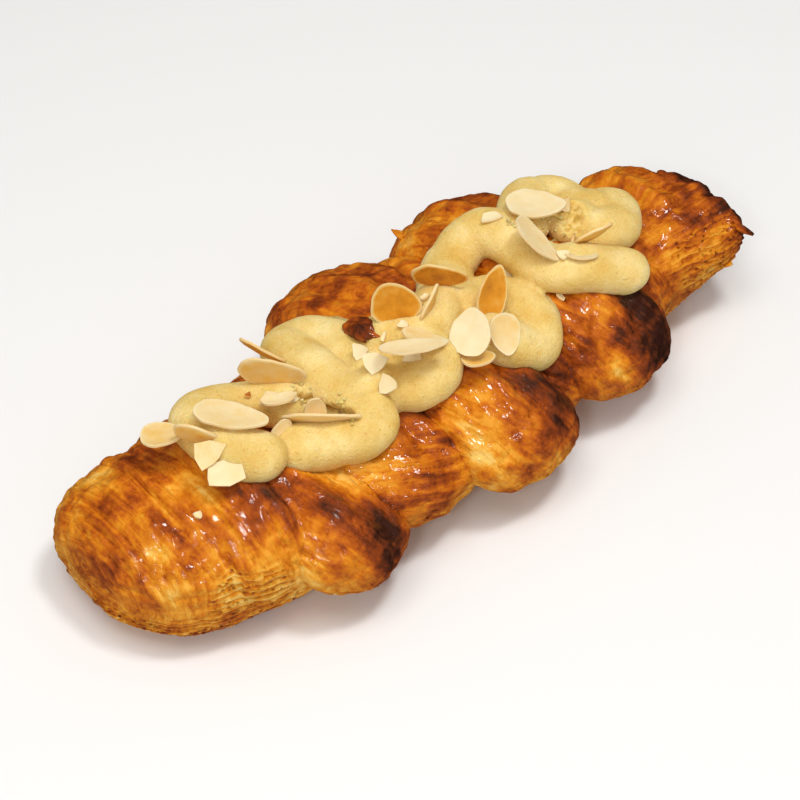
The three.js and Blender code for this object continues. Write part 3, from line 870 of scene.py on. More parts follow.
# %% The slices that were strewn
SLICES = table(
    "at turn tilt faces long wide toast breaks",
    ((-68.0, 10.3), -38, 13, 68, 11.3, 10.5, 0.36),
    ((-64.2, 1.9), -43, 75, 38, 11.5, 8, 0.5),
    ((-64.4, -3.4), -41, 29, -130, 12, 11, 0.3, (90, 318, 197)),
    ((-63.1, -8.8), -30, 30, -110, 17, 12, 0.15, (172, 277, 89, 21)),
    ((-53.2, 1.4), -47, 14, 13, 19.5, 11, 0.25),
    ((-37.3, 2.0), -34, 20, 81, 9.5, 6, 0.1),
    ((-34.0, 9.3), -41, 86, 45, 17.5, 10, 0.42),
    ((-30.1, 18.5), -50, 61, 19, 14, 6, 0.7),
    ((-31.9, -6.7), -22, 78, -122, 7, 6.5, 0.22, (10,)),
    ((-33.8, -10.1), -41, 60, 50, 19.5, 8, 0.35),
    ((-43.2, -5.9), 52, 66, -86, 8, 7, 0.2),
    ((-11.6, 0.8), 26, 42, -160, 7, 6, 0.05, (-10, 125, 235)),
    ((-13.2, -7.2), 12, 37, -160, 10, 8, 0.05, (20, 150, 255)),
    ((-15.1, -13.6), 24, 43, -168, 9, 6, 0.1, (-20, 100, 205)),
    ((0.5, -10.5), -49, 23, 17, 11.8, 8, 0.3),
    ((-5.7, -13.7), -37, 19, 66, 17.5, 7.5, 0.12),
    ((20.4, -19.2), -111, 45, -95, 11, 9, 0.3),
    ((10.7, -17.1), 31, 44, -160, 12.5, 11, 0.05),
    ((11.0, -22.3), -39, 14, 59, 9, 8, 0.5),
    ((2.4, 2.6), -45, 76, -133, 13.5, 12, 0.78),
    ((9.5, -3.3), -17, 82, 113, 11, 6, 0.5),
    ((17.8, 2.8), -41, 82, 46, 15.3, 8.5, 0.88),
    ((26.0, -8.4), 50, 60, -91, 15.5, 9, 0.76),
    ((56.8, 7.6), -42, 6, 35, 16.5, 12.5, 0.12),
    ((45.7, -3.7), -71, 38, -36, 16, 9.5, 0.2),
    ((60.9, -11.0), -31, 61, 80, 11.5, 7, 0.55),
    ((53.2, -13.7), -43, 24, 42, 9.5, 6, 0.1),
)
SLICE_THICKNESS = 0.75
SLICE_BEND = 0.8
FULLNESS = 0.45
POINTED = 0.25
RIM_SQUARENESS = 0.12
BREAK_AT = 0.55
RAGGED = 14
BREAK_SLIP = 0.05
OUTLINE_WAVER = 0.35
FACE_WAVER = 0.12
AROUND_SLICE = 56
SLICE_RINGS = 18


def cut_away(bm, distance, degrees):
    """Cuts off what lies further out than a distance in a direction, and closes the cut."""
    way = math.radians(degrees)
    facing = Vector((math.cos(way), math.sin(way), 0))
    everything = [*bm.verts, *bm.edges, *bm.faces]
    cut = bmesh.ops.bisect_plane(
        bm, geom=everything, plane_co=facing * distance, plane_no=facing, clear_outer=True
    )
    edges = [piece for piece in cut["geom_cut"] if isinstance(piece, bmesh.types.BMEdge)]
    bmesh.ops.holes_fill(bm, edges=edges)


def slice_form(long, wide, breaks, seed, around=AROUND_SLICE):
    """A slice's mesh, flat about the origin with its pointed end towards +X, in mm."""
    mesh, share, angle = ball_of("slice", around, SLICE_RINGS, crowding=0, spacing=1)
    reach = np.sin(math.pi * share) ** FULLNESS
    lengthwise = np.cos(angle) * reach
    breadth = np.sin(angle) * reach * (1 - POINTED * np.cos(angle))
    face = SLICE_THICKNESS / 2 * squared(np.cos(math.pi * share), RIM_SQUARENESS)
    bend = SLICE_BEND * (lengthwise**2 + 0.5 * breadth**2)
    points = np.stack([long / 2 * lengthwise, wide / 2 * breadth, face + bend], axis=1)
    outline = OUTLINE_WAVER * fractal(points[:, :2] / 3 + seed, 51, 2) * smooth(reach, 0.5, 1)
    points[:, :2] *= (1 + outline / (wide / 2))[:, None]
    points[:, 2] += FACE_WAVER * noise(points[:, :2] / 2.5, 52 + seed)
    move_points(mesh, points)
    write_value(mesh, "edge", reach)
    with edited(mesh) as bm:
        for step, degrees in enumerate(breaks):
            towards_point = abs(math.cos(math.radians(degrees)))
            distance = BREAK_AT * lerp((wide / 2, long / 2), towards_point)
            for lean in (-RAGGED, 0, RAGGED):
                slip = 1 + BREAK_SLIP * math.sin(3 * seed + 2 * step + lean)
                cut_away(bm, distance * slip, degrees + lean)
        bmesh.ops.recalc_face_normals(bm, faces=bm.faces)
    return mesh


def lie_of(values):
    """The turned axes of a slice: tilted from the level, with its upper side facing one way."""
    turned = Matrix.Rotation(math.radians(values["faces"]), 3, "Z")
    turned @= Matrix.Rotation(math.radians(values["tilt"]), 3, "Y")
    turned @= Matrix.Rotation(math.radians(values["turn"] - values["faces"]), 3, "Z")
    return np.array(turned)


def lay_slice(index, values):
    """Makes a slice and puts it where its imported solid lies."""
    node_name = f"almond_slice_{index:02d}"
    mesh = slice_form(values["long"], values["wide"], values.get("breaks", ()), index)
    points = points_of(mesh) @ lie_of(values).T
    x, y = np.array(values["at"]) - CENTRING[:2]
    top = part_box(node_name)[1].z / MM
    move_points(mesh, points + (x, y, top - points[:, 2].max()))
    face_outwards(mesh)
    write_value(mesh, "toast", values["toast"])
    return node_name, mesh


slices = [lay_slice(index, values) for index, values in enumerate(SLICES, start=1)]
print("slices:", len(slices), "with", sum(len(mesh.polygons) for _, mesh in slices), "faces")

# %% [markdown]
# ## Cream that holds the slices
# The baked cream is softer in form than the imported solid, and a slice at its true height can hang
# over it. Cream rises beside a slice that is pressed into it, so it is raised in a soft mound to
# each slice that would hang. Where that isn't enough, the slice settles. A slice high over the
# cream that touches another one is held by that one, and is left as it is.

# %% Mounds
PRESSED_IN = 0.6
MOUND = 4
MOUND_SLOPE = 1.6
HIGHEST_MOUND = 3.5
TOUCHING = 0.5


def clearance(points, tree):
    """The least distance of points from a closed mesh, less than 0 inside it, and both ends."""
    least = (BEYOND, None, None)
    for point in points:
        spot = Vector(point)
        place, facing, _, away = tree.find_nearest(spot)
        away = math.copysign(away, (spot - place).dot(facing))
        least = min(least, (away, point, np.array(place)), key=lambda found: found[0])
    return least


def hold_slices(mesh):
    """Raises the cream in soft mounds to slices that would hang over it."""
    points = points_of(mesh)
    upward = smooth(normals_of(mesh)[:, 2], -0.3, 0.4)
    soft_trees = [tree_of(mesh), loaf_tree]
    slice_trees = [tree_of(made) for _, made in slices]
    raised = np.zeros(len(points))
    for index, (name, made) in enumerate(slices):
        corners = points_of(made)
        found = [clearance(corners, tree) for tree in soft_trees]
        gap, lowest, below = min(found, key=lambda one: one[0])
        if gap < -PRESSED_IN / 2:
            continue
        others = [tree for k, tree in enumerate(slice_trees) if k != index]
        beside = min(tree.find_nearest(Vector(spot))[3] for spot in corners[::2] for tree in others)
        print(name, "hangs", round(gap, 2), "mm over the cream,", round(beside, 2), "mm from a slice")
        if gap > HIGHEST_MOUND and beside < TOUCHING:
            continue
        lift = min(lowest[2] - below[2] + PRESSED_IN, HIGHEST_MOUND)
        away = np.hypot(*(points[:, :2] - below[:2]).T)
        wide = max(MOUND, MOUND_SLOPE * lift)
        raised = np.maximum(raised, lift * np.exp(-((away / wide) ** 2)))
    points[:, 2] += raised * upward
    move_points(mesh, points)


def settle(made, trees):
    """Moves a slice that still hangs free by a little onto what is nearest below it."""
    corners = points_of(made)
    gap, lowest, below = min((clearance(corners, tree) for tree in trees), key=lambda one: one[0])
    if 0 < gap < HIGHEST_MOUND:
        step = np.array(below) - np.array(lowest)
        move_points(made, corners + step * (1 + PRESSED_IN / np.linalg.norm(step)))


for _ in range(2):
    hold_slices(cream)
for _, slice_made in slices:
    settle(slice_made, [tree_of(cream), loaf_tree])

# %% [markdown]
# ## Slivers, crumbs and a blister
# Slicing leaves slivers, and broken cream leaves crumbs. They are too small for solids of their
# own. Each is put where the camera sees it: a ray goes out from the camera through its column and
# row in the picture, and where the ray meets the cream or the crust, the sliver is laid on the
# skin. So it touches what carries it, seen from any side. It points in a direction of the picture,
# and a flush one is sunk by a share of its thickness. In one place syrup boiled up between two
# stretches of cream, and set as a dark blister.

# %% Slivers
PICTURE_WIDTH = 800
SLIVERS = table(
    "at points long wide toast flush",
    ((384, 337), 75, 4.6, 1.3, 0.05),
    ((404, 326), -22, 5, 2.2, 0.05),
    ((414, 356), -3, 9, 3, 0.1, 0.5),
    ((425, 299), 62, 5.4, 1.2, 0.15),
    ((507, 275), 30, 7, 5, 0.2),
    ((565, 205), 82, 7, 2.8, 0.2),
    ((574, 237), 78, 4.8, 1.2, 0.3),
    ((564, 256), -65, 5, 3.4, 0.05),
    ((491, 218), 16, 9.5, 3.6, 0.1, 0.5),
    ((272, 399), -8, 9, 3.4, 0.1, 0.5),
    ((291, 399), 20, 5, 2.5, 0.1, 0.4),
    ((197, 516), 80, 3, 2.6, 0.15),
    ((560, 299), -62, 4.2, 1.8, 0.1),
    ((249, 396), -30, 2.2, 1.6, 1.0),
)
CRUMBS = table(
    "at strewn count",
    ((305, 402), 3.5, 12),
    ((338, 414), 2.5, 9),
    ((353, 420), 2, 7),
    ((552, 236), 4.5, 16),
    ((511, 226), 2, 6),
    ((420, 300), 4, 8),
)
CRUMB_SIZE = (0.3, 0.75)
CRUMB_SEED = 5
SLIVER_BREAKS = (35, 150)
AROUND_SLIVER = 20
FIRST_SLIVER_SEED = 60
cream_tree = tree_of(cream)


def seen_at(column, row):
    """The place that the camera sees at a column and a row of the picture, and its facing."""
    wide = camera_data.sensor_width / camera_data.lens
    right = (column / PICTURE_WIDTH - 0.5 + camera_data.shift_x) * wide
    up = (0.5 - row / PICTURE_WIDTH + camera_data.shift_y) * wide
    way = camera.rotation_quaternion @ Vector((right, up, -1))
    met = [tree.ray_cast(camera.location / MM, way) for tree in (loaf_tree, cream_tree)]
    place, facing, _, _ = min((hit for hit in met if hit[0]), key=lambda hit: hit[3])
    return np.array(place), np.array(facing)


def axes_on(facing, degrees):
    """Axes that lie on a skin, the first along a direction of the picture, as columns."""
    turned = camera.rotation_quaternion
    slant = math.radians(degrees)
    way = np.array(turned @ Vector((math.cos(slant), math.sin(slant), 0)))
    way -= facing * (way @ facing)
    way /= np.linalg.norm(way)
    return np.stack([way, np.cross(facing, way), facing], axis=1)


def gathered(meshes, name, values):
    """Many small meshes as one, with the values that their corners keep."""
    whole = bpy.data.meshes.new(name)
    starts = np.cumsum([0] + [len(mesh.vertices) for mesh in meshes])
    faces = [
        [start + corner for corner in face.vertices]
        for mesh, start in zip(meshes, starts.tolist())
        for face in mesh.polygons
    ]
    whole.from_pydata(np.concatenate([points_of(mesh) for mesh in meshes]), [], faces)
    for value in values:
        write_value(whole, value, np.concatenate([read_value(mesh, value) for mesh in meshes]))
    return whole


def lay_sliver(index, values):
    """Makes a sliver and lays it on the skin."""
    mesh = slice_form(values["long"], values["wide"], SLIVER_BREAKS, index, AROUND_SLIVER)
    place, facing = seen_at(*values["at"])
    sunk = values.get("flush", 0) * SLICE_THICKNESS
    place = place + facing * (SLICE_THICKNESS / 2 - sunk)
    points = points_of(mesh) @ axes_on(facing, values["points"]).T
    move_points(mesh, points + place)
    face_outwards(mesh)
    write_value(mesh, "toast", values["toast"])
    return mesh


laid = [lay_sliver(index, values) for index, values in enumerate(SLIVERS, FIRST_SLIVER_SEED)]
slivers = gathered(laid, "slivers", ("edge", "toast"))
print("slivers:", len(slivers.polygons), "faces")


# %% Crumbs
def crumb(place, size, seed):
    """An angular crumb of cream."""
    mesh = bpy.data.meshes.new("crumb")
    with edited(mesh) as bm:
        bmesh.ops.create_icosphere(bm, subdivisions=1, radius=size)
    points = points_of(mesh)
    points *= 1 + 0.5 * noise(points / size + 9 * seed, 71)[:, None]
    move_points(mesh, points + place)
    face_outwards(mesh)
    write_value(mesh, "torn", 0)
    return mesh


def strewn_crumbs():
    """Crumbs round each place, each of them resting on the cream or the crust."""
    rng = np.random.default_rng(CRUMB_SEED)
    made = []
    for heap in CRUMBS:
        middle, _ = seen_at(*heap["at"])
        for x, y in rng.normal(middle[:2], heap["strewn"] / 2, (heap["count"], 2)):
            size = rng.uniform(*CRUMB_SIZE)
            below = [drop_on(tree, x, y)[0] for tree in (cream_tree, loaf_tree)]
            top = max(place.z for place in below if place is not None)
            made.append(crumb(np.array([x, y, top + 0.4 * size]), size, len(made)))
    return gathered(made, "crumbs", ("torn",))


crumbs = strewn_crumbs()
print("crumbs:", len(crumbs.polygons), "faces")

# %% The blister
BLISTER_AT = (362, 329)
BLISTER_SIZE = (6.8, 3.8, 2.7)
BLISTER_POINTS = -40
BLISTER_SUNK = 0.7
BLISTER_GIRTH = 34
BLISTER_LENGTH = 22
UPRIGHT = np.array([0, 0, 2])
SYRUP_BROWN = 0.74


def syrup_blister():
    """A dark dome of boiled syrup."""
    mesh, share, angle = ball_of("blister", BLISTER_GIRTH, BLISTER_LENGTH, crowding=0)
    points = points_of(mesh)
    points *= 1 + 0.25 * noise(points * 1.6, 81)[:, None] + 0.12 * noise(points * 4, 82)[:, None]
    place, facing = seen_at(*BLISTER_AT)
    facing = facing + UPRIGHT
    facing /= np.linalg.norm(facing)
    points = (points * BLISTER_SIZE) @ axes_on(facing, BLISTER_POINTS).T
    move_points(mesh, points + place - facing * BLISTER_SUNK)
    keep_lie(mesh, angle * BLISTER_SIZE[1], share * BLISTER_SIZE[0])
    write_value(mesh, "brown_and_shade", SYRUP_BROWN + 0.35 * fractal(points / 3, 83))
    write_value(mesh, "wash", 1)
    write_value(mesh, "low", 0)
    return mesh


blister = syrup_blister()

# %% [markdown]
# ## Colours and nodes
# Colours are picked as sRGB hex values, and a shader works in linear light, so one function turns
# them. Another adds a node with its settings and links.

# %% Colours, and one way to add a node
def linear(colour):
    """An sRGB hex colour as the linear values that a shader uses."""
    parts = [int(colour[start : start + 2], 16) / 255 for start in (1, 3, 5)]
    lit = [part / 12.92 if part <= 0.04045 else ((part + 0.055) / 1.055) ** 2.4 for part in parts]
    return (*lit, 1.0)


def add(tree, kind, inputs=None, stops=None, **settings):
    """A node with its settings. Each input is set to a value or linked to another's output."""
    node = tree.nodes.new("ShaderNode" + kind)
    for name, value in settings.items():
        setattr(node, name, value)
    for name, value in (inputs or {}).items():
        if isinstance(value, bpy.types.NodeSocket):
            tree.links.new(value, node.inputs[name])
        else:
            node.inputs[name].default_value = value
    if stops:
        ramp = node.color_ramp.elements
        while len(ramp) < len(stops):
            ramp.new(1)
        for element, (place, colour) in zip(ramp, stops):
            element.position = place
            element.color = linear(colour)
    return node


def new_material(name, constants):
    """A material with its Principled shader, whose constants are set, joined to the output."""
    material = bpy.data.materials.new(name)
    material.use_nodes = True
    tree = material.node_tree
    tree.nodes.clear()
    shader = add(tree, "BsdfPrincipled", constants)
    add(tree, "OutputMaterial", {"Surface": shader.outputs[0]})
    return material, tree, shader


# %% [markdown]
# ## Egg-washed laminated crust
# Baked dough is dull and layered, and the egg wash on it is a thin glossy varnish. Browning runs
# from pale gold over orange and chestnut to burnt. The colour follows the browning that was kept
# with the mesh, painted shade in its grooves included, broken up by fine streaks along the grain
# and by mottling. Painted shade darkens the pores, the wrinkles of the egg and the gaps between
# open layers as well. The varnish is the shader's coat, with a bump of its own that is softer than
# that of the crumb below, so that the light breaks into many small glints, as it does on blistered
# egg wash.

# %% Crust material
# A wave texture of scale 1 has 20 radians in each unit of length.
WAVE_TURN = 2 * math.pi / 20
BROWNING = [
    (0.0, "#F6C664"),
    (0.18, "#ECA22E"),
    (0.34, "#DA810C"),
    (0.5, "#C06003"),
    (0.64, "#9C4303"),
    (0.78, "#793106"),
    (0.9, "#5C270A"),
    (1.0, "#3C190A"),
]
# The crust is dull, and the varnish on it smooth.
CRUST = {"Roughness": 0.55, "Specular IOR Level": 0.25, "Coat Roughness": 0.08, "Coat IOR": 1.5}


def egg_washed_crust():
    material, tree, shader = new_material("egg_washed_laminated_crust", CRUST)
    # The browning kept with the mesh, painted shade in the grooves included.
    brown_and_shade = add(tree, "Attribute", attribute_name="brown_and_shade").outputs["Fac"]
    wash = add(tree, "Attribute", attribute_name="wash").outputs["Fac"]
    place = add(tree, "TexCoord").outputs["Object"]
    grain = add(tree, "UVMap", uv_map="grain").outputs["UV"]
    low = add(tree, "Attribute", attribute_name="low").outputs["Fac"]
    # A layer of the dough is about 1.3 mm broad where it shows on the crown, and runs for 11 mm.
    along_grain = add(tree, "Mapping", {"Vector": grain, "Scale": (1 / 0.0013, 1 / 0.011, 1)})
    crown = add(
        tree,
        "TexNoise",
        {"Vector": along_grain.outputs[0], "Scale": 1, "Detail": 3, "Roughness": 0.55, "Distortion": 1.2},
    ).outputs["Fac"]
    # Low at the sides the layers lie level, one above the other every 0.8 mm.
    level = add(tree, "Mapping", {"Vector": place, "Scale": (1 / 0.008, 1 / 0.008, 1 / 0.0008)})
    side = add(
        tree,
        "TexNoise",
        {"Vector": level.outputs[0], "Scale": 1, "Detail": 4, "Roughness": 0.6, "Distortion": 0.9},
    ).outputs["Fac"]
    # Each open layer is pale on its edge, with painted shade in the gap above it, every 1.7 mm.
    shelves = add(
        tree,
        "TexWave",
        {"Vector": place, "Scale": WAVE_TURN / 0.0017, "Distortion": 7, "Detail": 3, "Detail Scale": 0.8},
        bands_direction="Z",
        wave_profile="SAW",
    ).outputs["Fac"]
    side = add(tree, "Mix", {0: 0.4, 2: side, 3: shelves}).outputs[0]
    streaks = add(tree, "Mix", {0: low, 2: crown, 3: side}).outputs[0]
    # The open layers are pale on their edges and darkened with painted shade in the gaps, far more than
    # the crown is.
    contrast = add(tree, "MapRange", {"Value": low, "To Min": 0.24, "To Max": 0.95}).outputs[0]
    bend = add(tree, "TexNoise", {"Vector": place, "Scale": 1 / 0.003, "Detail": 3}).outputs["Color"]
    bend = add(tree, "VectorMath", {0: bend, "Scale": 2.2}, operation="SCALE").outputs[0]
    # Broad bands of light and dark, 4 mm by 18 mm, follow the grain over it.
    broad_grain = add(tree, "Mapping", {"Vector": grain, "Scale": (1 / 0.004, 1 / 0.018, 1)})
    broad = add(
        tree, "TexNoise", {"Vector": broad_grain.outputs[0], "Scale": 1, "Detail": 4, "Distortion": 1.4}
    ).outputs["Fac"]
    mottling = add(
        tree, "TexNoise", {"Vector": place, "Scale": 1 / 0.006, "Detail": 7, "Roughness": 0.66}
    ).outputs["Fac"]
    specks = add(tree, "TexNoise", {"Vector": place, "Scale": 1 / 0.0012, "Detail": 3}).outputs["Fac"]
    # The crown blistered in small domes about 2.4 mm across, and the sides opened in 2 mm pores.
    domes = add(
        tree, "TexVoronoi", {"Vector": place, "Scale": 1 / 0.0024}, feature="SMOOTH_F1"
    ).outputs["Distance"]
    cells = add(tree, "TexVoronoi", {"Vector": place, "Scale": 1 / 0.002}).outputs["Distance"]
    pores = add(
        tree, "MapRange", {"Value": cells, "From Min": 0.12, "From Max": 0.3, "To Min": 1, "To Max": 0}
    ).outputs[0]
    pores = add(tree, "Math", {0: pores, 1: low}, operation="MULTIPLY").outputs[0]
    # The film of egg wrinkled as it dried, in cells about 2 mm broad and four times as long.
    film = add(tree, "Mapping", {"Vector": grain, "Scale": (1 / 0.002, 1 / 0.008, 1)}).outputs[0]
    bent = add(tree, "VectorMath", {0: film, 1: bend}, operation="ADD").outputs[0]
    wrinkle = add(
        tree, "TexVoronoi", {"Vector": bent, "Scale": 1}, feature="DISTANCE_TO_EDGE",
        voronoi_dimensions="2D",
    ).outputs["Distance"]
    wrinkle = add(
        tree, "MapRange", {"Value": wrinkle, "From Min": 0, "From Max": 0.16, "To Min": 1, "To Max": 0}
    ).outputs[0]
    here = add(tree, "MapRange", {"Value": mottling, "From Min": 0.45, "From Max": 0.65}).outputs[0]
    wrinkle = add(tree, "Math", {0: wrinkle, 1: here}, operation="MULTIPLY").outputs[0]
    shade = brown_and_shade
    for pattern, weight in ((streaks, contrast), (broad, 0.66), (mottling, 0.72), (specks, 0.2)):
        centred = add(tree, "Math", {0: pattern, 1: 0.5}, operation="SUBTRACT").outputs[0]
        shade = add(
            tree, "Math", {0: centred, 1: weight, 2: shade}, operation="MULTIPLY_ADD"
        ).outputs[0]
    # Painted shade: the pores and the grooves of the wrinkled egg film are darkened.
    for pattern, weight in ((pores, 0.22), (wrinkle, 0.06)):
        shade = add(
            tree, "Math", {0: pattern, 1: weight, 2: shade}, operation="MULTIPLY_ADD"
        ).outputs[0]
    colour = add(tree, "ValToRGB", {"Fac": shade}, stops=BROWNING).outputs["Color"]
    tree.links.new(colour, shader.inputs["Base Color"])
    relief = add(tree, "Math", {0: streaks, 1: 0.6}, operation="MULTIPLY").outputs[0]
    for pattern, weight in ((specks, 0.6), (mottling, 1.6), (domes, -1.0), (pores, -1.1), (wrinkle, -0.3)):
        relief = add(
            tree, "Math", {0: pattern, 1: weight, 2: relief}, operation="MULTIPLY_ADD"
        ).outputs[0]
    crumb = add(tree, "Bump", {"Height": relief, "Strength": 0.9, "Distance": 0.0006})
    tree.links.new(crumb.outputs[0], shader.inputs["Normal"])
    varnish = broad
    for pattern, weight in ((domes, -0.6), (specks, 0.2), (wrinkle, -0.2)):
        varnish = add(
            tree, "Math", {0: pattern, 1: weight, 2: varnish}, operation="MULTIPLY_ADD"
        ).outputs[0]
    coat_relief = add(tree, "Bump", {"Height": varnish, "Strength": 0.6, "Distance": 0.0004})
    tree.links.new(coat_relief.outputs[0], shader.inputs["Coat Normal"])
    # The egg ran together in pools a centimetre wide, and is thin between them and where it burnt.
    pools = add(tree, "TexNoise", {"Vector": place, "Scale": 1 / 0.01, "Detail": 3}).outputs["Fac"]
    pools = add(
        tree, "MapRange", {"Value": pools, "From Min": 0.4, "From Max": 0.56, "To Min": 0.3}
    ).outputs[0]
    burnt = add(
        tree, "MapRange", {"Value": brown_and_shade, "From Min": 0.7, "From Max": 1, "To Min": 1, "To Max": 0.6}
    ).outputs[0]
    coat = add(tree, "Math", {0: wash, 1: burnt}, operation="MULTIPLY").outputs[0]
    coat = add(tree, "Math", {0: coat, 1: pools}, operation="MULTIPLY").outputs[0]
    tree.links.new(coat, shader.inputs["Coat Weight"])
    return material


crust_material = egg_washed_crust()

# %% [markdown]
# ## Almond cream
# Baked almond cream is a dull pale yellow paste with ground almond in it. Light goes a little way
# into it, so its shadows stay warm. A fine grain of about half a millimetre roughens it, and
# where it tore it is browner and coarser.

# %% Cream material
SKIN_COLOURS = [(0.25, "#DAB056"), (0.5, "#E5C576"), (0.75, "#F1D997")]
TORN_COLOURS = [(0.35, "#C0963F"), (0.5, "#DFBA62"), (0.65, "#F0D68E")]
SKIN_MIDDLE = 0.19
# Light goes 4 mm into cream, and its red part the furthest.
CREAM = {
    "Roughness": 0.6,
    "Specular IOR Level": 0.3,
    "Subsurface Weight": 0.45,
    "Subsurface Radius": (1.0, 0.65, 0.22),
    "Subsurface Scale": 0.004,
}


def almond_cream():
    material, tree, shader = new_material("baked_almond_cream", CREAM)
    place = add(tree, "TexCoord").outputs["Object"]
    torn = add(tree, "Attribute", attribute_name="torn").outputs["Fac"]
    meal = add(tree, "TexNoise", {"Vector": place, "Scale": 1 / 0.0006, "Detail": 3}).outputs["Fac"]
    # Steam left pits about half a millimetre across, 1.5 mm from one to the next.
    cells = add(tree, "TexVoronoi", {"Vector": place, "Scale": 1 / 0.0015}).outputs["Distance"]
    pits = add(
        tree, "MapRange", {"Value": cells, "From Min": 0.1, "From Max": 0.28, "To Min": 1, "To Max": 0}
    ).outputs[0]
    tint = add(tree, "TexNoise", {"Vector": place, "Scale": 1 / 0.009, "Detail": 3}).outputs["Fac"]
    crumbs = add(tree, "TexNoise", {"Vector": place, "Scale": 1 / 0.0016, "Detail": 4}).outputs["Fac"]
    shade = tint
    # The pits get a little painted shade.
    for pattern, weight in ((meal, 0.4), (pits, -0.05)):
        shade = add(
            tree, "Math", {0: pattern, 1: weight, 2: shade}, operation="MULTIPLY_ADD"
        ).outputs[0]
    shade = add(tree, "Math", {0: shade, 1: SKIN_MIDDLE}, operation="SUBTRACT").outputs[0]
    skin = add(tree, "ValToRGB", {"Fac": shade}, stops=SKIN_COLOURS).outputs["Color"]
    inside = add(tree, "ValToRGB", {"Fac": crumbs}, stops=TORN_COLOURS).outputs["Color"]
    mixed = add(tree, "Mix", {0: torn, 6: skin, 7: inside}, data_type="RGBA").outputs[2]
    tree.links.new(mixed, shader.inputs["Base Color"])
    relief = add(tree, "Math", {0: pits, 1: -0.35, 2: meal}, operation="MULTIPLY_ADD").outputs[0]
    grain = add(tree, "Bump", {"Height": relief, "Strength": 0.9, "Distance": 0.0004})
    tree.links.new(grain.outputs[0], shader.inputs["Normal"])
    return material


cream_material = almond_cream()

# %% [markdown]
# ## Toasted almond
# An almond slice is waxy ivory. The oven toasts its face golden in the middle of some slices and
# leaves the rim pale, and on others it browns the thin rim first. The amber middle is toast and
# painted shade together, as on a translucent face turned from the light, and the pale rim is partly
# painted light. How far each slice is toasted and shaded is kept with its mesh.

# %% Almond material
TOAST_AND_SHADE_COLOURS = [(0.0, "#EFDDB2"), (0.25, "#EBCF96"), (0.5, "#E8BB62"), (0.75, "#E0961F"), (1.0, "#AE6310")]
RIM_COLOUR = "#E0AC62"
ALMOND = {
    "Roughness": 0.42,
    "Subsurface Weight": 0.2,
    "Subsurface Radius": (1.0, 0.7, 0.35),
    "Subsurface Scale": 0.0015,
}


def toasted_almond():
    material, tree, shader = new_material("toasted_sliced_almond", ALMOND)
    place = add(tree, "TexCoord").outputs["Object"]
    toast = add(tree, "Attribute", attribute_name="toast").outputs["Fac"]
    edge = add(tree, "Attribute", attribute_name="edge").outputs["Fac"]
    cloud = add(tree, "TexNoise", {"Vector": place, "Scale": 1 / 0.004, "Detail": 3}).outputs["Fac"]
    fibres = add(tree, "TexNoise", {"Vector": place, "Scale": 1 / 0.0007, "Detail": 2}).outputs["Fac"]
    # The toast and painted shade are full in the middle of the face and fade towards the rim, whose paler
    # colour is partly painted light.
    inner = add(
        tree,
        "MapRange",
        {"Value": edge, "From Min": 0.84, "From Max": 0.98, "To Min": 1.0, "To Max": 0.4},
        interpolation_type="SMOOTHSTEP",
    ).outputs[0]
    shade = add(tree, "Math", {0: toast, 1: inner}, operation="MULTIPLY").outputs[0]
    for pattern, weight in ((cloud, 0.5), (fibres, 0.12)):
        centred = add(tree, "Math", {0: pattern, 1: 0.5}, operation="SUBTRACT").outputs[0]
        shade = add(
            tree, "Math", {0: centred, 1: weight, 2: shade}, operation="MULTIPLY_ADD"
        ).outputs[0]
    face = add(tree, "ValToRGB", {"Fac": shade}, stops=TOAST_AND_SHADE_COLOURS).outputs["Color"]
    rim = add(
        tree,
        "MapRange",
        {"Value": edge, "From Min": 0.97, "From Max": 1.0, "To Min": 0.0, "To Max": 0.35},
    ).outputs[0]
    rim_colour = linear(RIM_COLOUR)
    mixed = add(tree, "Mix", {0: rim, 6: face, 7: rim_colour}, data_type="RGBA").outputs[2]
    tree.links.new(mixed, shader.inputs["Base Color"])
    bump = add(tree, "Bump", {"Height": fibres, "Strength": 0.3, "Distance": 0.0001})
    tree.links.new(bump.outputs[0], shader.inputs["Normal"])
    return material


almond_material = toasted_almond()

# %% [markdown]
# ## Putting the pieces on the part
# A finished mesh is scaled to metres, shaded smooth and hung on the part's one body. Each piece
# hides the imported solid that it stands for.

# %% Pieces
SHARP_RIM = math.radians(40)


def finished(mesh, name, material, slot, *replaced, sharp=math.pi):
    """A finished piece of the part, whose edges show where they are sharper than an angle."""
    mesh.transform(Matrix.Scale(MM, 4))
    mesh.shade_smooth()
    mesh.set_sharp_from_angle(angle=sharp)
    mesh.materials.clear()
    mesh.materials.append(material)
    piece = object_of(mesh, name)
    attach(piece, "root")
    if replaced:
        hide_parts(*replaced)


finished(loaf, "twisted_loaf", crust_material, "crust", "pastry")
finished(cream, "piped_cream", cream_material, "cream", "almond_cream")
for number, (node_name, mesh) in enumerate(slices, start=1):
    name = f"sliced_almond_{number:02d}"
    finished(mesh, name, almond_material, "almond", node_name, sharp=SHARP_RIM)
finished(slivers, "almond_slivers", almond_material, "almond", sharp=SHARP_RIM)
finished(crumbs, "cream_crumbs", cream_material, "cream", sharp=SHARP_RIM)
finished(blister, "syrup_blister", crust_material, "crust")

# %% [markdown]
# ## Floor and light
# The loaf lies on a plain pale surface under soft studio light from above, which leaves pale tops,
# warm sides and small bright glints on the egg wash.

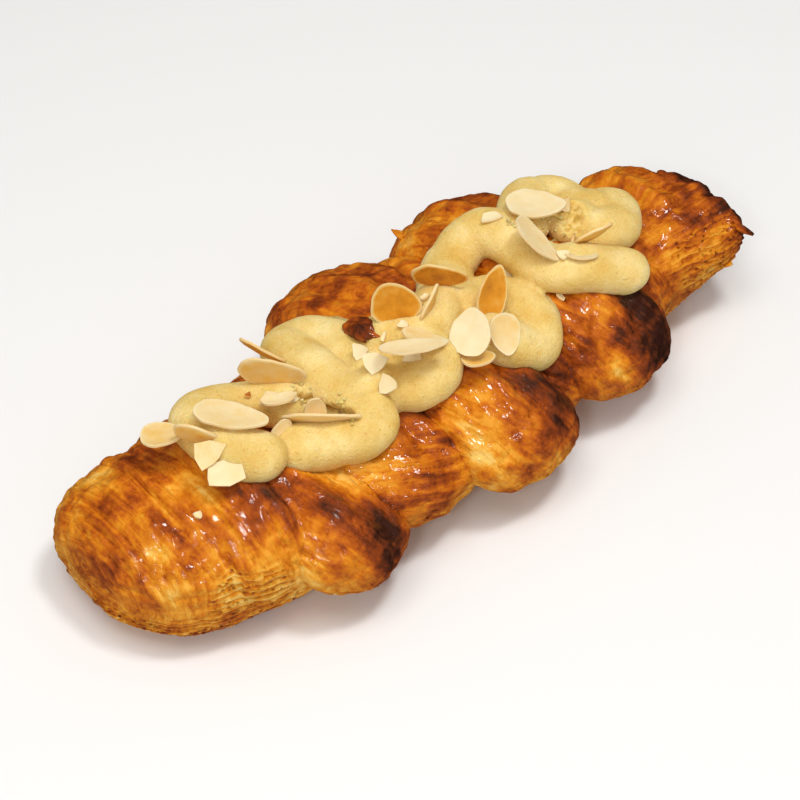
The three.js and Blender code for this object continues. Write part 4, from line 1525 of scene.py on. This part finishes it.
# %% Floor
FLOOR_SIZE = 3
PAPER = {"Base Color": linear("#EBEAE8"), "Roughness": 0.8}


def pale_floor():
    mesh = bpy.data.meshes.new("floor")
    with edited(mesh) as bm:
        bmesh.ops.create_grid(bm, x_segments=1, y_segments=1, size=FLOOR_SIZE)
    material, tree, shader = new_material("matt_white_paper", PAPER)
    place = add(tree, "TexCoord").outputs["Object"]
    # The paper's fibres lie in clumps, 0.6 of them to a millimetre.
    fibres = add(tree, "TexNoise", {"Vector": place, "Scale": 0.6 / MM, "Detail": 2}).outputs["Fac"]
    bump = add(tree, "Bump", {"Height": fibres, "Strength": 0.05, "Distance": 0.0002})
    tree.links.new(bump.outputs[0], shader.inputs["Normal"])
    mesh.materials.append(material)
    floor = object_of(mesh, "floor")
    # Its mirror image would lay a pale veil over the varnish, all round the foot of the loaf.
    floor.visible_glossy = False


pale_floor()


# %% Light
def softbox(name, towards, distance, size, power, shines=True):
    """A square soft light at the loaf from a direction. One that doesn't shine gives no glints,
    as a light behind a polarising sheet does, and so leaves the browns deep."""
    data = bpy.data.lights.new(name, "AREA")
    data.shape = "SQUARE"
    data.size = size
    data.energy = power
    lamp = object_of(data, name)
    lamp.visible_glossy = shines
    way = Vector(towards).normalized()
    lamp.location = way * distance
    lamp.rotation_mode = "QUATERNION"
    lamp.rotation_quaternion = (-way).to_track_quat("-Z", "Y")


softbox("overhead_box", (-0.25, -0.1, 1), 0.9, 0.5, 3.1, shines=False)
softbox("front_fill", (-0.75, -0.8, 0.8), 1.2, 0.7, 1.4, shines=False)
softbox("glint_box", (0.15, -0.2, 1), 1.0, 0.17, 3.4)
softbox("front_glint", (-0.75, -0.55, 0.9), 1.0, 0.11, 1.2)
world = bpy.data.worlds.new("studio")
world.use_nodes = True
world.node_tree.nodes["Background"].inputs["Color"].default_value = linear("#FDFCFA")
world.node_tree.nodes["Background"].inputs["Strength"].default_value = 0.4
world.cycles_visibility.glossy = False
bpy.context.scene.world = world
bpy.context.scene.view_settings.view_transform = "Standard"
